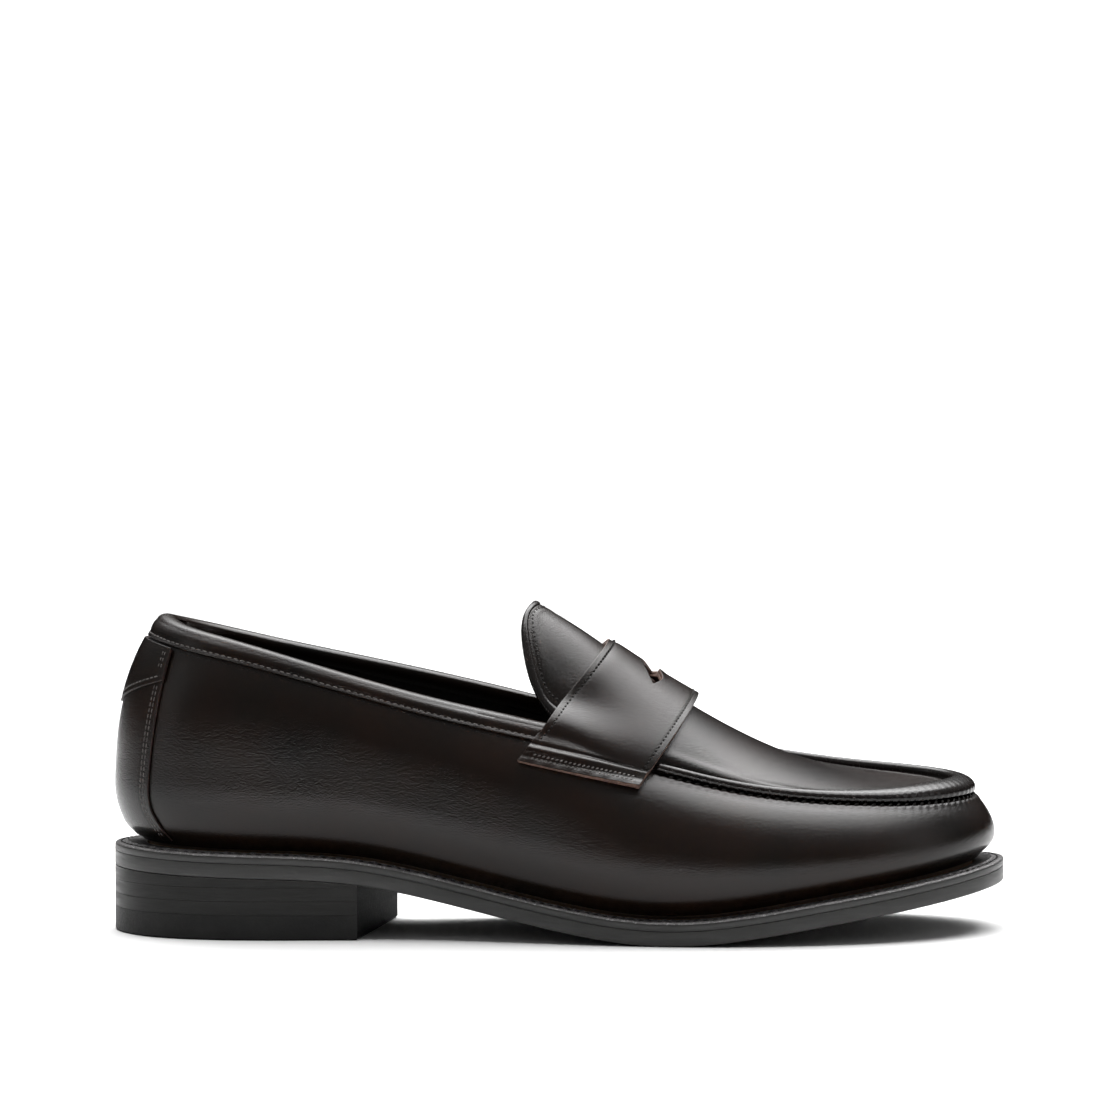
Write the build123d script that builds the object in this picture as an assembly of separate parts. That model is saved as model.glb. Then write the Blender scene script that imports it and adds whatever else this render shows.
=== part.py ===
from build123d import *
import math
import os

import numpy as np

# A right-foot penny loafer, built as its separate pieces, in millimetres.
# X runs from heel to toe, Y to the wearer's left (the inner, or medial, side of a right shoe) and Z up.
# The origin is on the ground, under the middle of the shoe.

# ---------------------------------------------------------------- driving dimensions

WELT_T = 3.0             # thickness of the welt strip
OUTSOLE_T = 5.0          # thickness of the outsole
SOLE_T = OUTSOLE_T + WELT_T
INSOLE_T = 2.4           # insole board
SOCK_T = 0.9             # sock liner
HEEL_PAD_T = 1.4         # foam pad under the sock liner's heel
SHANK_T = 1.2            # steel shank
SHANK_WIDTH = 12.0
SHANK_BACK = -105.0
SHANK_FRONT = 6.0
LEATHER_T = 1.3          # upper leather
LINING_T = 0.9           # lining leather
OVERLAY_T = 1.0          # back stay, heel tab and collar band
THREAD_T = 0.3           # how far a seam's thread stands proud
THREAD_W = 0.7           # width of a seam's thread
GAP = 0.2                # air between two sewn layers

FAR = 200.0              # beyond either end of the shoe
DEEP = -10.0             # below the ground
TALL = 140.0             # above the top of the tongue
SPAN = 80.0              # wider than the shoe, to either side

HEEL_BREAST = -68.5      # front of the heel on the outer side
HEEL_BREAST_SLOPE = 15.0 # how much further forward the breast is on the inner side
TOP_PIECE_Z = 8.4        # the heel's layers, from the ground up
LIFT_3_Z = 13.0
LIFT_2_Z = 17.6

FLEX_X = 50.0            # where the sole bends, just ahead of the saddle strap
FLEX_Z = 13.5            # height of that bend, above the sole's own layers
FLEX_LIMIT = 25.0        # degrees that the toe can be bent up
FLEX_CLEARANCE = 2.5     # degrees kept free beyond that

TONGUE_X = 13.0          # where the tongue leaves the apron, under the strap
TONGUE_DROP = 6.0        # degrees of room cut away under the tongue
SLOT_X = 29.0            # middle of the saddle strap's slot
SLOT_HALF = 13.0         # half its length across the shoe
SLOT_WIDTH = 7.0

BEAD_R = 1.5             # raised ridge round the apron
BEAD_INSET = 0.9
APRON_INSET = 2.9        # gap between the apron and the side's top edge, under the ridge

# The sole's edge, clockwise from the back of the heel along the outer side, over the toe and back.
# Each station gives the place of the edge, the width of welt showing beside the upper, how far the
# upper bulges low down and high up, how far its top edge leans out (or in), and how high that edge is.
STATIONS = [
    # x,      y,    welt, low, high, lean, top
    (-150.0, 1.2, 7.5, 12.0, 5.0, -8.5, 104.2),
    (-138.5, -21.8, 7.0, 11.0, 5.5, -7.5, 102.2),
    (-112.0, -32.3, 5.5, 9.0, 6.5, -3.5, 97.6),
    (-72.0, -32.8, 4.5, 9.0, 7.0, -1.0, 86.4),
    (-34.0, -35.8, 4.5, 9.5, 7.5, -2.0, 76.0),
    (6.0, -44.8, 5.0, 9.5, 7.5, -6.0, 66.8),
    (46.0, -50.8, 5.5, 8.5, 7.0, -10.0, 54.2),
    (86.0, -47.3, 5.5, 7.0, 6.0, -10.0, 46.2),
    (121.0, -34.8, 5.8, 5.5, 5.0, -9.5, 45.2),
    (142.5, -15.8, 6.3, 4.5, 4.0, -9.0, 47.2),
    (150.0, 5.7, 6.5, 4.3, 3.5, -8.5, 48.6),
    (144.5, 24.7, 6.3, 4.5, 4.0, -9.0, 49.2),
    (125.0, 40.2, 5.8, 5.5, 5.0, -9.5, 49.2),
    (94.0, 48.7, 5.5, 7.0, 6.0, -10.0, 51.7),
    (58.0, 50.7, 5.0, 8.5, 7.0, -10.0, 57.2),
    (22.0, 42.7, 4.0, 9.5, 7.5, -6.0, 65.4),
    (-16.0, 32.2, 3.0, 9.5, 7.5, -1.0, 76.4),
    (-56.0, 29.2, 3.0, 9.0, 7.0, -0.5, 86.0),
    (-90.0, 31.2, 4.5, 8.5, 6.0, -2.0, 93.4),
    (-118.0, 32.7, 5.5, 9.0, 6.0, -4.5, 99.3),
    (-140.0, 22.2, 7.0, 11.0, 5.5, -7.5, 102.8),
]


# ---------------------------------------------------------------- smooth curves

def smooth(knots, values):
    """A natural cubic spline through values at knots, as a function of one variable."""
    t = np.asarray(knots, float)
    y = np.asarray(values, float)
    h = np.diff(t)
    a = np.eye(len(t))
    b = np.zeros_like(y)
    for i in range(1, len(t) - 1):
        a[i, i - 1] = h[i - 1]
        a[i, i] = 2 * (h[i - 1] + h[i])
        a[i, i + 1] = h[i]
        b[i] = 6 * ((y[i + 1] - y[i]) / h[i] - (y[i] - y[i - 1]) / h[i - 1])
    m = np.linalg.solve(a, b)

    def at(x):
        x = np.asarray(x, float)
        i = np.clip(np.searchsorted(t, x, side="right") - 1, 0, len(h) - 1)
        p = t[i + 1] - x
        q = x - t[i]
        s = h[i]
        if y.ndim > 1:
            p = p[..., None]
            q = q[..., None]
            s = s[..., None]
        bend = (m[i] * p**3 + m[i + 1] * q**3) / (6 * s)
        return bend + (y[i] / s - m[i] * s / 6) * p + (y[i + 1] / s - m[i + 1] * s / 6) * q

    return at


def ring(rows, wrap=4):
    """A closed smooth curve through rows, as a function of the share of the way round."""
    r = np.asarray(rows, float)
    step = np.linalg.norm(np.diff(np.vstack([r, r[:1]])[:, :2], axis=0), axis=1)
    share = np.concatenate([[0], np.cumsum(step)]) / step.sum()
    knots = np.concatenate([share[-1 - wrap:-1] - 1, share, share[1:1 + wrap] + 1])
    values = np.vstack([r[-wrap:], r, r[:1], r[1:1 + wrap]])
    curve = smooth(knots, values)
    return lambda u: curve(np.mod(u, 1.0))


def bezier(a, b, c, d, v):
    w = 1 - v
    return a * w**3 + 3 * b * w * w * v + 3 * c * w * v * v + d * v**3


def ease(x, low, high):
    """0 below low, 1 above high, and a smooth step between."""
    t = np.clip((x - low) / (high - low), 0, 1)
    return t * t * (3 - 2 * t)


# ---------------------------------------------------------------- the shape of the shoe

station = ring(STATIONS)

# height of the outsole's underside along the shoe: the heel seat, the waist, the ball and the toe
sole_bottom = smooth(
    [-150, -110, -67, -36, -4, 27, 45, 80, 120, 150],
    [22.0, 20.6, 18.2, 12.0, 4.8, 0.35, 0.45, 5.1, 11.4, 16.3],
)
# the top of the shoe: height along the middle, and at half width on the outer and inner side
crest = smooth(
    [-14, -7, 14, 30, 47, 61, 75, 90, 110, 128, 140],
    [113.4, 109.6, 96.3, 84.9, 73.9, 65.9, 59.1, 53.9, 50.3, 48.9, 48.4],
)
outer_fall = smooth([-14, 5, 30, 46, 74, 101, 123, 140], [73.6, 67.0, 59.4, 53.6, 47.6, 45.4, 45.7, 47.6])
inner_fall = smooth([-14, 5, 30, 46, 74, 101, 123, 140], [79.1, 72.2, 64.2, 59.2, 53.6, 50.6, 49.6, 49.1])
half_width = smooth([-14, 5, 30, 60, 90, 120, 140], [27, 29.5, 33.5, 36, 35.5, 34, 33])
middle = smooth([-14, 30, 70, 110, 140], [0.7, 0.2, 1.7, 3.7, 5.2])


def outward(u):
    """Unit normal of the sole's edge, pointing away from the foot."""
    e = 1e-4
    d = station(u + e)[..., :2] - station(u - e)[..., :2]
    t = d / np.linalg.norm(d, axis=-1, keepdims=True)
    return np.stack([t[..., 1], -t[..., 0]], -1)


def top_surface(x, y):
    """Height of the apron and tongue."""
    z0 = crest(x)
    tilt = (inner_fall(x) - outer_fall(x)) / 2
    drop = (inner_fall(x) + outer_fall(x)) / 2 - z0
    k = (y - middle(x)) / half_width(x)
    return z0 + tilt * k + drop * k * k


def wall(u, v):
    """Outer skin of the sides: u is the share of the way round, v runs from the welt to the top edge."""
    u, v = np.broadcast_arrays(np.asarray(u, float), np.asarray(v, float))
    s = station(u)
    n = outward(u)
    foot = s[..., :2] - n * s[..., 2:3]
    low = s[..., 3]
    high = s[..., 4]
    lean = s[..., 5]
    foot_z = sole_bottom(foot[..., 0]) + SOLE_T
    edge = foot + n * lean[..., None]
    apron_z = top_surface(edge[..., 0], edge[..., 1])
    top_z = s[..., 6] + (apron_z - s[..., 6]) * ease(edge[..., 0], 0, 40)
    out = bezier(0 * low, low, high, lean, v)
    rise = bezier(0 * v, 0 * v + 0.30, 0 * v + 0.78, 0 * v + 1.0, v)
    xy = foot + n * out[..., None]
    return np.concatenate([xy, (foot_z + (top_z - foot_z) * rise)[..., None]], -1)


def off_wall(u, v, d):
    """Points d outside the wall at one u, kept in the upright plane through that u."""
    e = 1e-4
    n = outward(np.float64(u))
    flat = np.array([n[0], n[1], 0.0])
    t = wall(u, v + e) - wall(u, v - e)
    along = t @ flat
    up = t[..., 2]
    size = np.hypot(along, up)
    return wall(u, v) + np.multiply.outer(d * up / size, flat) - np.multiply.outer(
        d * along / size, np.array([0.0, 0.0, 1.0]))


def top_ring(u, inset=0.0):
    """The top edge of the sides, moved in by inset."""
    edge = wall(u, 1.0)
    edge[..., :2] -= outward(u) * inset
    return edge


def u_at(x, side):
    """Share of the way round where the top edge passes x, on the outer (-1) or inner (+1) side."""
    if side < 0:
        us = np.linspace(0.0, 0.5, 400)
    else:
        us = np.linspace(1.0, 0.5, 400)
    return float(np.interp(x, wall(us, 1.0)[:, 0], us))


# ---------------------------------------------------------------- solids

def points(array):
    return [tuple(float(c) for c in p) for p in array]


def closed_wire(upper, lower):
    """Two open curves, one above the other, joined at their ends by straight lines."""
    a = points(upper)
    b = points(lower)
    return Wire([Spline(*a), Line(a[-1], b[-1]), Spline(*b[::-1]), Line(b[0], a[0])])


def wall_layer(u0, u1, v0, v1, d0, d1, steps=24, rows=7):
    """A layer of the sides between offsets d0 and d1. v0 and v1 may be functions of u."""
    wires = []
    for u in np.linspace(u0, u1, steps + 1):
        low = v0(u) if callable(v0) else v0
        high = v1(u) if callable(v1) else v1
        v = np.linspace(low, high, rows)
        wires.append(closed_wire(off_wall(u, v, d1), off_wall(u, v, d0)))
    return Solid.make_loft(wires, ruled=False)


def top_layer(x0, x1, z0, z1, steps=24, reach=48.0):
    """A layer that follows the top of the shoe, between heights z0 and z1 above it."""
    wires = []
    for x in np.linspace(x0, x1, steps + 1):
        y = np.linspace(-reach, reach, 13)
        z = top_surface(x + 0 * y, y)
        upper = np.stack([x + 0 * y, y, z + z1], -1)
        lower = np.stack([x + 0 * y, y, z + z0], -1)
        wires.append(closed_wire(upper, lower))
    return Solid.make_loft(wires, ruled=False)


def prism(outline):
    """An upright prism with the given closed outline of (x, y) points."""
    wire = Wire([Spline(*[(float(x), float(y), DEEP) for x, y in outline], periodic=True)])
    return extrude(Face(wire), amount=TALL - DEEP, dir=(0, 0, 1))


def sole_outline(inset, count=48):
    """Outline of the sole's edge moved in by inset."""
    u = np.arange(count) / count
    return station(u)[:, :2] - outward(u) * inset


def foot_outline(inset, count=48):
    """Outline where the upper meets the welt, moved in by inset."""
    u = np.arange(count) / count
    s = station(u)
    return s[:, :2] - outward(u) * (s[:, 2:3] + inset)


def side_cut(*corners):
    """A prism across the shoe, from (x, z) corners seen from the side."""
    wire = Polyline(*[(x, -SPAN, z) for x, z in corners], close=True)
    return extrude(Face(Wire(wire)), amount=2 * SPAN, dir=(0, 1, 0))


def sole_layer(plan, low, high):
    """A layer that follows the sole's profile between low and high above the outsole's underside."""
    knots = np.linspace(-158, 158, 28)
    bottom = np.clip(knots, -150, 150)
    z = sole_bottom(bottom)
    wire = closed_wire(
        np.stack([knots, 0 * knots - SPAN, z + (high(knots) if callable(high) else high)], -1),
        np.stack([knots, 0 * knots - SPAN, z + (low(knots) if callable(low) else low)], -1),
    )
    band = extrude(Face(wire), amount=2 * SPAN, dir=(0, 1, 0))
    return band & plan


def strip(outline_out, outline_in, low, high):
    """A ring-shaped layer of the sole between two outlines."""
    return sole_layer(prism(outline_out) - prism(outline_in), low, high)


def thread(path, low):
    """A flat thread along a path of (point, normal), its underside at low above the surface."""
    wires = []
    for i, (p, n) in enumerate(path):
        t = path[min(i + 1, len(path) - 1)][0] - path[max(i - 1, 0)][0]
        across = np.cross(t, n)
        across = across / np.linalg.norm(across) * THREAD_W / 2
        corners = [p + n * low - across, p + n * low + across]
        corners += [p + n * (low + THREAD_T) + across, p + n * (low + THREAD_T) - across]
        wires.append(Wire(Polyline(*points(corners), close=True)))
    return Solid.make_loft(wires, ruled=True)


# ---------------------------------------------------------------- where the toe bends

reach = 110.0
lean_back = math.tan(math.radians(FLEX_LIMIT + FLEX_CLEARANCE)) * reach
behind_flex = side_cut((-FAR, DEEP), (FLEX_X, DEEP), (FLEX_X, TALL), (-FAR, TALL))
ahead_of_flex = side_cut(
    (FLEX_X, DEEP), (FAR, DEEP), (FAR, FLEX_Z + reach),
    (FLEX_X + lean_back, FLEX_Z + reach), (FLEX_X, FLEX_Z))
in_flex = side_cut((FLEX_X, FLEX_Z), (FLEX_X + lean_back, FLEX_Z + reach), (FLEX_X, FLEX_Z + reach))


# ---------------------------------------------------------------- heel and sole

def heel_outline(x_front_outer):
    """Plan of the heel: the sole's edge behind a breast that runs slightly forward to the inner side."""
    breast = Polyline(
        (-FAR, -SPAN, DEEP),
        (x_front_outer - HEEL_BREAST_SLOPE / 2, -SPAN, DEEP),
        (x_front_outer + HEEL_BREAST_SLOPE * 1.5, SPAN, DEEP),
        (-FAR, SPAN, DEEP),
        close=True,
    )
    return extrude(Face(Wire(breast)), amount=TALL, dir=(0, 0, 1)) & prism(sole_outline(0.0))


HEEL_REACH = 40.0        # higher than the top of the heel
NAIL_R = 1.0
NAIL_FIT = 0.05          # air round a nail
NAILS = [(-134.0, 1.0), (-118.0, -17.0), (-118.0, 18.0), (-90.0, -18.0), (-90.0, 18.0)]


def nails(radius, low, high):
    """The nails that hold the heel's lifts, from the ground side up."""
    return [Pos(x, y, (low + high) / 2) * Cylinder(radius, high - low) for x, y in NAILS]


def heel_pieces():
    """The top piece that touches the ground and three lifts above it, the last one wedge-shaped."""
    plan = heel_outline(HEEL_BREAST)
    holes = nails(NAIL_R + NAIL_FIT, TOP_PIECE_Z, HEEL_REACH)

    def slab(low, high):
        return plan & (Pos(-FAR / 2, 0, (low + high) / 2) * Box(FAR, FAR, high - low))

    pieces = {"heel_top_piece": slab(0.0, TOP_PIECE_Z)}
    pieces["heel_lift_3"] = slab(TOP_PIECE_Z, LIFT_3_Z)
    under_sole = sole_layer(prism(sole_outline(-2.0)), -SPAN / 2, 0.0)
    pieces["heel_lift_2"] = slab(LIFT_3_Z, LIFT_2_Z) & under_sole
    pieces["heel_lift_1"] = slab(LIFT_2_Z, HEEL_REACH) & under_sole
    for name in ("heel_lift_1", "heel_lift_2", "heel_lift_3"):
        for hole in holes:
            pieces[name] = pieces[name] - hole
    return pieces


# how far inside the upper's lower edge the hidden pieces of the bottom reach
WELT_TUCK = 1.5
INSEAM = (1.6, 2.0)
RIB = (2.1, 3.6)
INSOLE_INSET = 3.9
CORK_INSET = 4.0
SOCK_INSET = 4.6
PAD_INSET = 5.5
PAD_END = -76.0          # front of the foam heel pad
PAD_SLOPE = (-74.0, -58.0)   # where the sock liner comes down from it
SHANK_FIT = 0.1          # air round the shank


def welt_seam(u0, u1, inset=2.0, steps=52):
    """The outsole's seam, lying on the welt between two shares of the way round."""
    path = []
    for u in np.linspace(u0, u1, steps + 1):
        x, y = station(u)[:2] - outward(u) * inset
        path.append((np.array([x, y, float(sole_bottom(x)) + SOLE_T]), np.array([0.0, 0.0, 1.0])))
    return thread(path, 0.08)


def sole_pieces():
    """Outsole, welt, insole and what is packed between them."""
    outsole = sole_layer(prism(sole_outline(0.0)), 0.0, OUTSOLE_T)
    welt = strip(sole_outline(0.0), foot_outline(WELT_TUCK), OUTSOLE_T, SOLE_T)
    rib = strip(foot_outline(RIB[0]), foot_outline(RIB[1]), OUTSOLE_T, SOLE_T)
    inseam = strip(foot_outline(INSEAM[0]), foot_outline(INSEAM[1]), OUTSOLE_T + 1.2, OUTSOLE_T + 1.9)
    shank_x = (SHANK_BACK + SHANK_FRONT) / 2
    shank_length = SHANK_FRONT - SHANK_BACK
    shank_low = OUTSOLE_T + 0.3
    shank_high = shank_low + SHANK_T
    shank_plan = Pos(shank_x, 0, 0) * Box(shank_length, SHANK_WIDTH, 2 * TALL)
    pocket_plan = Pos(shank_x, 0, 0) * Box(shank_length + GAP, SHANK_WIDTH + GAP, 2 * TALL)
    filler = prism(foot_outline(CORK_INSET))
    shank = sole_layer(filler, shank_low, shank_high) & shank_plan
    pocket = sole_layer(filler, shank_low - SHANK_FIT, shank_high + SHANK_FIT) & pocket_plan
    cork = sole_layer(filler, OUTSOLE_T, SOLE_T) - pocket
    insole_top = SOLE_T + INSOLE_T
    insole = sole_layer(prism(foot_outline(INSOLE_INSET)), SOLE_T, insole_top)

    def pad_rise(x):
        return insole_top + (HEEL_PAD_T + GAP) * (1 - ease(x, *PAD_SLOPE))

    pad_cut = side_cut((-FAR, DEEP), (PAD_END, DEEP), (PAD_END, TALL), (-FAR, TALL))
    pad = sole_layer(prism(foot_outline(PAD_INSET)), insole_top, insole_top + HEEL_PAD_T) & pad_cut
    sock = sole_layer(prism(foot_outline(SOCK_INSET)), pad_rise, lambda x: pad_rise(x) + SOCK_T)
    rear = outsole & behind_flex
    for hole in nails(NAIL_R + NAIL_FIT, 0.0, HEEL_REACH):
        rear = rear - hole
    under_insole = sole_layer(filler, -HEEL_REACH, OUTSOLE_T - GAP)
    heel_nails = [n & under_insole for n in nails(NAIL_R, TOP_PIECE_Z + 0.1, HEEL_REACH)]
    return {
        "outsole_rear": rear,
        "outsole_fore": outsole & ahead_of_flex,
        "welt": welt,
        "welt_stitching": [welt_seam(0.0, 0.5), welt_seam(0.5, 1.0)],
        "gemming_rib": rib,
        "inseam_thread": inseam,
        "shank": shank,
        "cork_filler": cork,
        "insole_board": insole,
        "heel_pad": pad,
        "sock_liner": sock,
        "heel_nails": heel_nails,
    }


# ---------------------------------------------------------------- the sides and their lining

STAY_U = 0.045          # half the back stay's width, as a share of the way round
COLLAR_V = 0.90         # the collar band's lower edge
LOW_V = 0.005           # the sides' lower edge, just off the welt
FLEX_REACH = 0.36       # share of the way round that reaches past the bend from the back
COUNTER_T = 1.1         # heel counter
COUNTER_U = 0.16        # how far it reaches forward, as a share of the way round
PUFF_T = 1.0            # toe puff
PUFF_U = 0.07           # how far it reaches back from the toe
QUARTER_END = 2.0       # where the heel lining meets the toe lining


def side_pieces():
    """The one-piece side of the upper, split where the toe bends, with its stiffeners and linings."""
    rear = wall_layer(-FLEX_REACH, FLEX_REACH, LOW_V, 1.0, -LEATHER_T, 0.0, steps=40)
    fore = wall_layer(0.28, 0.72, LOW_V, 1.0, -LEATHER_T, 0.0, steps=34)
    flex = fore & in_flex
    stiff = -LEATHER_T - GAP
    lining = stiff - COUNTER_T - GAP

    def counter_top(u):
        return 0.72 - 0.5 * (abs(u) / COUNTER_U) ** 3

    counter = wall_layer(-COUNTER_U, COUNTER_U, 0.04, counter_top, stiff - COUNTER_T, stiff)
    puff = wall_layer(0.5 - PUFF_U, 0.5 + PUFF_U, 0.04, 0.90, stiff - PUFF_T, stiff)
    quarter = wall_layer(-FLEX_REACH, FLEX_REACH, 0.05, 1.0, lining - LINING_T, lining, steps=40)
    vamp = wall_layer(0.24, 0.76, 0.05, 0.98, lining - LINING_T, lining, steps=40)
    vamp_start = QUARTER_END + GAP
    back_part = side_cut((-FAR, DEEP), (QUARTER_END, DEEP), (QUARTER_END, TALL), (-FAR, TALL))
    front_part = side_cut((vamp_start, DEEP), (FAR, DEEP), (FAR, TALL), (vamp_start, TALL))
    flex_sides = sorted(flex.solids(), key=lambda s: s.center().Y)
    return {
        "side_upper_rear": rear & behind_flex,
        "side_upper_fore": fore & ahead_of_flex,
        "side_upper_bend_outer": flex_sides[0],
        "side_upper_bend_inner": flex_sides[-1],
        "heel_counter": counter,
        "toe_puff": puff,
        "quarter_lining": quarter & back_part,
        "vamp_lining": vamp & front_part,
    }


# ---------------------------------------------------------------- apron, tongue and ridge

APRON_START = -4.0       # behind the tongue's seam, so that the seam cuts the apron straight
TONGUE_EDGE = 1.6        # width of the tongue's binding
TONGUE_SEAM = 3.4        # how far its seam lies from the tongue's edge


def apron_outline(inset):
    """Plan of the apron, from the tongue's seam round the toe."""
    start = u_at(APRON_START, -1)
    end = u_at(APRON_START, +1)
    return top_ring(np.linspace(start, end, 44), inset)[:, :2]


def open_prism(outline):
    """An upright prism whose outline is closed by a straight line across its ends."""
    pts = [(float(x), float(y), 0.0) for x, y in outline]
    wire = Wire([Spline(*pts), Line(pts[-1], pts[0])])
    return extrude(Face(wire), amount=TALL, dir=(0, 0, 1))


def tongue_plane(shift):
    """What lies behind the tongue's seam, which leans back so that the tongue can be pressed in."""
    fall = 60.0
    z = float(crest(TONGUE_X)) + 4
    back = math.tan(math.radians(TONGUE_DROP + 3.0)) * fall
    return side_cut((-60, z + 30), (TONGUE_X + shift, z + 30), (TONGUE_X + shift, z),
                    (TONGUE_X + shift - back, z - fall), (-60, z - fall))


def tongue_outline(inset):
    """Plan of the tongue: a broad flap with rounded corners."""
    half = 26.8 - inset
    back = -12.6 + inset
    return [
        (30, -half), (4, -half - 0.8), (-5.0, -half + 1.5), (back + 1.3, -half + 7.5), (back, -half + 15),
        (back + 3.8, 1.0), (back + 1.8, half - 14), (back + 2.6, half - 6.5), (-5.0, half - 0.5),
        (4, half + 1.8), (30, half + 1.0),
    ]


def band_prism(outer, inner):
    """An upright prism between two open curves."""
    a = [(x, y, 0.0) for x, y in outer]
    b = [(x, y, 0.0) for x, y in inner]
    wire = Wire([Spline(*a), Line(a[-1], b[-1]), Spline(*b[::-1]), Line(b[0], a[0])])
    return extrude(Face(wire), amount=TALL, dir=(0, 0, 1))


def tongue_layer(low, high):
    return top_layer(-16, 20, low, high, steps=12)


def apron_pieces():
    """The apron on top of the foot, its lining, and the tongue with its lining, binding and seam."""
    body = open_prism(apron_outline(APRON_INSET))
    slab = top_layer(-2, 150, -LEATHER_T, 0.0, steps=38)
    not_tongue = tongue_plane(0.0)
    apron = (slab & body) - not_tongue
    lining_top = -LEATHER_T - 3 * GAP
    lining = top_layer(-2, 150, lining_top - LINING_T, lining_top, steps=38)
    lining = (lining & open_prism(apron_outline(5.5))) - not_tongue
    flap = tongue_plane(-2 * GAP)
    inside_edge = open_prism(tongue_outline(TONGUE_EDGE))
    leather = tongue_layer(-LEATHER_T, 0.0) & inside_edge & flap
    backing_high = -LEATHER_T - GAP
    backing_low = backing_high - LINING_T
    backing = tongue_layer(backing_low, backing_high) & inside_edge & flap
    binding = tongue_layer(backing_low - 0.1, GAP) & open_prism(tongue_outline(0.0))
    binding = (binding - open_prism(tongue_outline(TONGUE_EDGE + 0.05))) & flap
    seam_edge = tongue_outline(TONGUE_SEAM)[2:-2]
    seam_inner = tongue_outline(TONGUE_SEAM + THREAD_W)[2:-2]
    seam = tongue_layer(GAP, GAP + THREAD_T) & band_prism(seam_edge, seam_inner)
    return {
        "apron_rear": apron & behind_flex,
        "apron_fore": apron & ahead_of_flex,
        "apron_bend": apron & in_flex,
        "apron_lining": lining,
        "tongue": leather,
        "tongue_lining": backing,
        "tongue_binding": binding,
        "tongue_stitches": seam,
    }


RIDGE_START = (40.0, 43.0)   # where the ridge comes out from under the strap, outer and inner side


def ridge_pieces():
    """The raised ridge where apron and side meet, and the hand-sewn look of stitches below it."""
    start = u_at(RIDGE_START[0], -1)
    end = u_at(RIDGE_START[1], +1)
    path = top_ring(np.linspace(start, end, 40), BEAD_INSET)
    path[:, 2] += BEAD_R + 0.4
    wires = []
    for i in range(0, len(path)):
        ahead = path[min(i + 1, len(path) - 1)] - path[max(i - 1, 0)]
        plane = Plane(origin=tuple(map(float, path[i])), z_dir=tuple(map(float, ahead)))
        plane = Plane(origin=plane.origin, x_dir=plane.z_dir.cross(Vector(0, 0, 1)), z_dir=plane.z_dir)
        wires.append(Wire([Edge.make_circle(BEAD_R, plane)]))
    bead = Solid.make_loft(wires, ruled=False)
    stitches = wall_layer(start, end, 0.925, 0.938, GAP, GAP + THREAD_T, steps=40, rows=3)
    return {"ridge_piping": bead, "ridge_stitches": stitches}


# ---------------------------------------------------------------- saddle strap

# the strap seen from the side: lower back, lower front, upper front and upper back corner
STRAP = [(-13.8, 59.8), (25.8, 51.2), (50.6, 84.0), (21.6, 104.0)]
STRAP_GAP = 0.5
STRAP_LINING_T = 0.9
STRAP_T = 1.1
STRAP_SHOULDER = 0.8     # how far it stands off the top edges of the sides
STRAP_BRIDGE = 0.9       # and off the step inside them
STRAP_RISE_BACK = 0.8    # how far the strap stands off the instep where it bridges the two sides
STRAP_RISE_FRONT = 2.2
BAR_SEAMS = (3.0, 5.0)   # the two seams that sew its lower edge to the side
EDGE_SEAM = 2.6          # the seam beside its front and back edge


def saddle_section(x):
    """Points over the shoe at one x, from low on the outer side to low on the inner side."""
    heights = [0.58, 0.68, 0.78, 0.88, 0.95, 1.0]
    sides = []
    for side in (-1, 1):
        row = []
        for v in heights:
            u = u_at(x, side)
            for _ in range(6):
                p = wall(u, v)
                q = wall(u + 1e-3, v)
                u = u + (x - p[0]) * 1e-3 / (q[0] - p[0])
            row.append(wall(u, v))
        row[-1] = row[-1] + np.array([0.0, side * STRAP_SHOULDER, STRAP_SHOULDER])
        sides.append(row)
    left = wall(u_at(x, -1), 1.0)[1]
    right = wall(u_at(x, 1), 1.0)[1]
    over = []
    rise = STRAP_RISE_BACK + (STRAP_RISE_FRONT - STRAP_RISE_BACK) * float(ease(x, 15.0, 47.0))
    for share in (0.13, 0.24, 0.37, 0.5, 0.63, 0.76, 0.87):
        y = left + (right - left) * share
        bridge = STRAP_BRIDGE * (1 - float(ease(min(share, 1 - share), 0.1, 0.3)))
        lift = STRAP_SHOULDER + bridge + (rise - STRAP_SHOULDER) * math.sin(math.pi * share)
        over.append([x, y, float(top_surface(x, y)) + lift])
    section = np.array(sides[0] + over + sides[1][::-1])
    section[:, 0] = x
    return section


def saddle_layer(low, high, x0=-16.0, x1=51.0, steps=14):
    """A layer over the instep between two offsets from its surface."""
    wires = []
    for x in np.linspace(x0, x1, steps + 1):
        p = saddle_section(x)
        t = np.gradient(p, axis=0)
        n = np.stack([0 * t[:, 0], -t[:, 2], t[:, 1]], -1)
        n = n / np.linalg.norm(n, axis=1, keepdims=True)
        wires.append(closed_wire(p + n * high, p + n * low))
    return Solid.make_loft(wires, ruled=False)


def slot_prism():
    """The strap's slot: two shallow arcs that meet in points, with a small lip in the front one."""
    y0 = float(middle(SLOT_X))
    a = (SLOT_X + 1.0, y0 - SLOT_HALF, 0.0)
    b = (SLOT_X + 1.0, y0 + SLOT_HALF, 0.0)
    back = Spline(a, (SLOT_X - 1.6, y0 - SLOT_HALF / 2, 0.0), (SLOT_X - 2.8, y0, 0.0),
                  (SLOT_X - 1.6, y0 + SLOT_HALF / 2, 0.0), b)
    front = Spline(b, (SLOT_X + 4.0, y0 + SLOT_HALF / 2, 0.0), (SLOT_X + SLOT_WIDTH - 4.2, y0, 0.0),
                   (SLOT_X + 4.0, y0 - SLOT_HALF / 2, 0.0), a)
    return extrude(Face(Wire([back, front])), amount=TALL, dir=(0, 0, 1))


def between(a, b, share):
    return (a[0] + (b[0] - a[0]) * share, a[1] + (b[1] - a[1]) * share)


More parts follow.
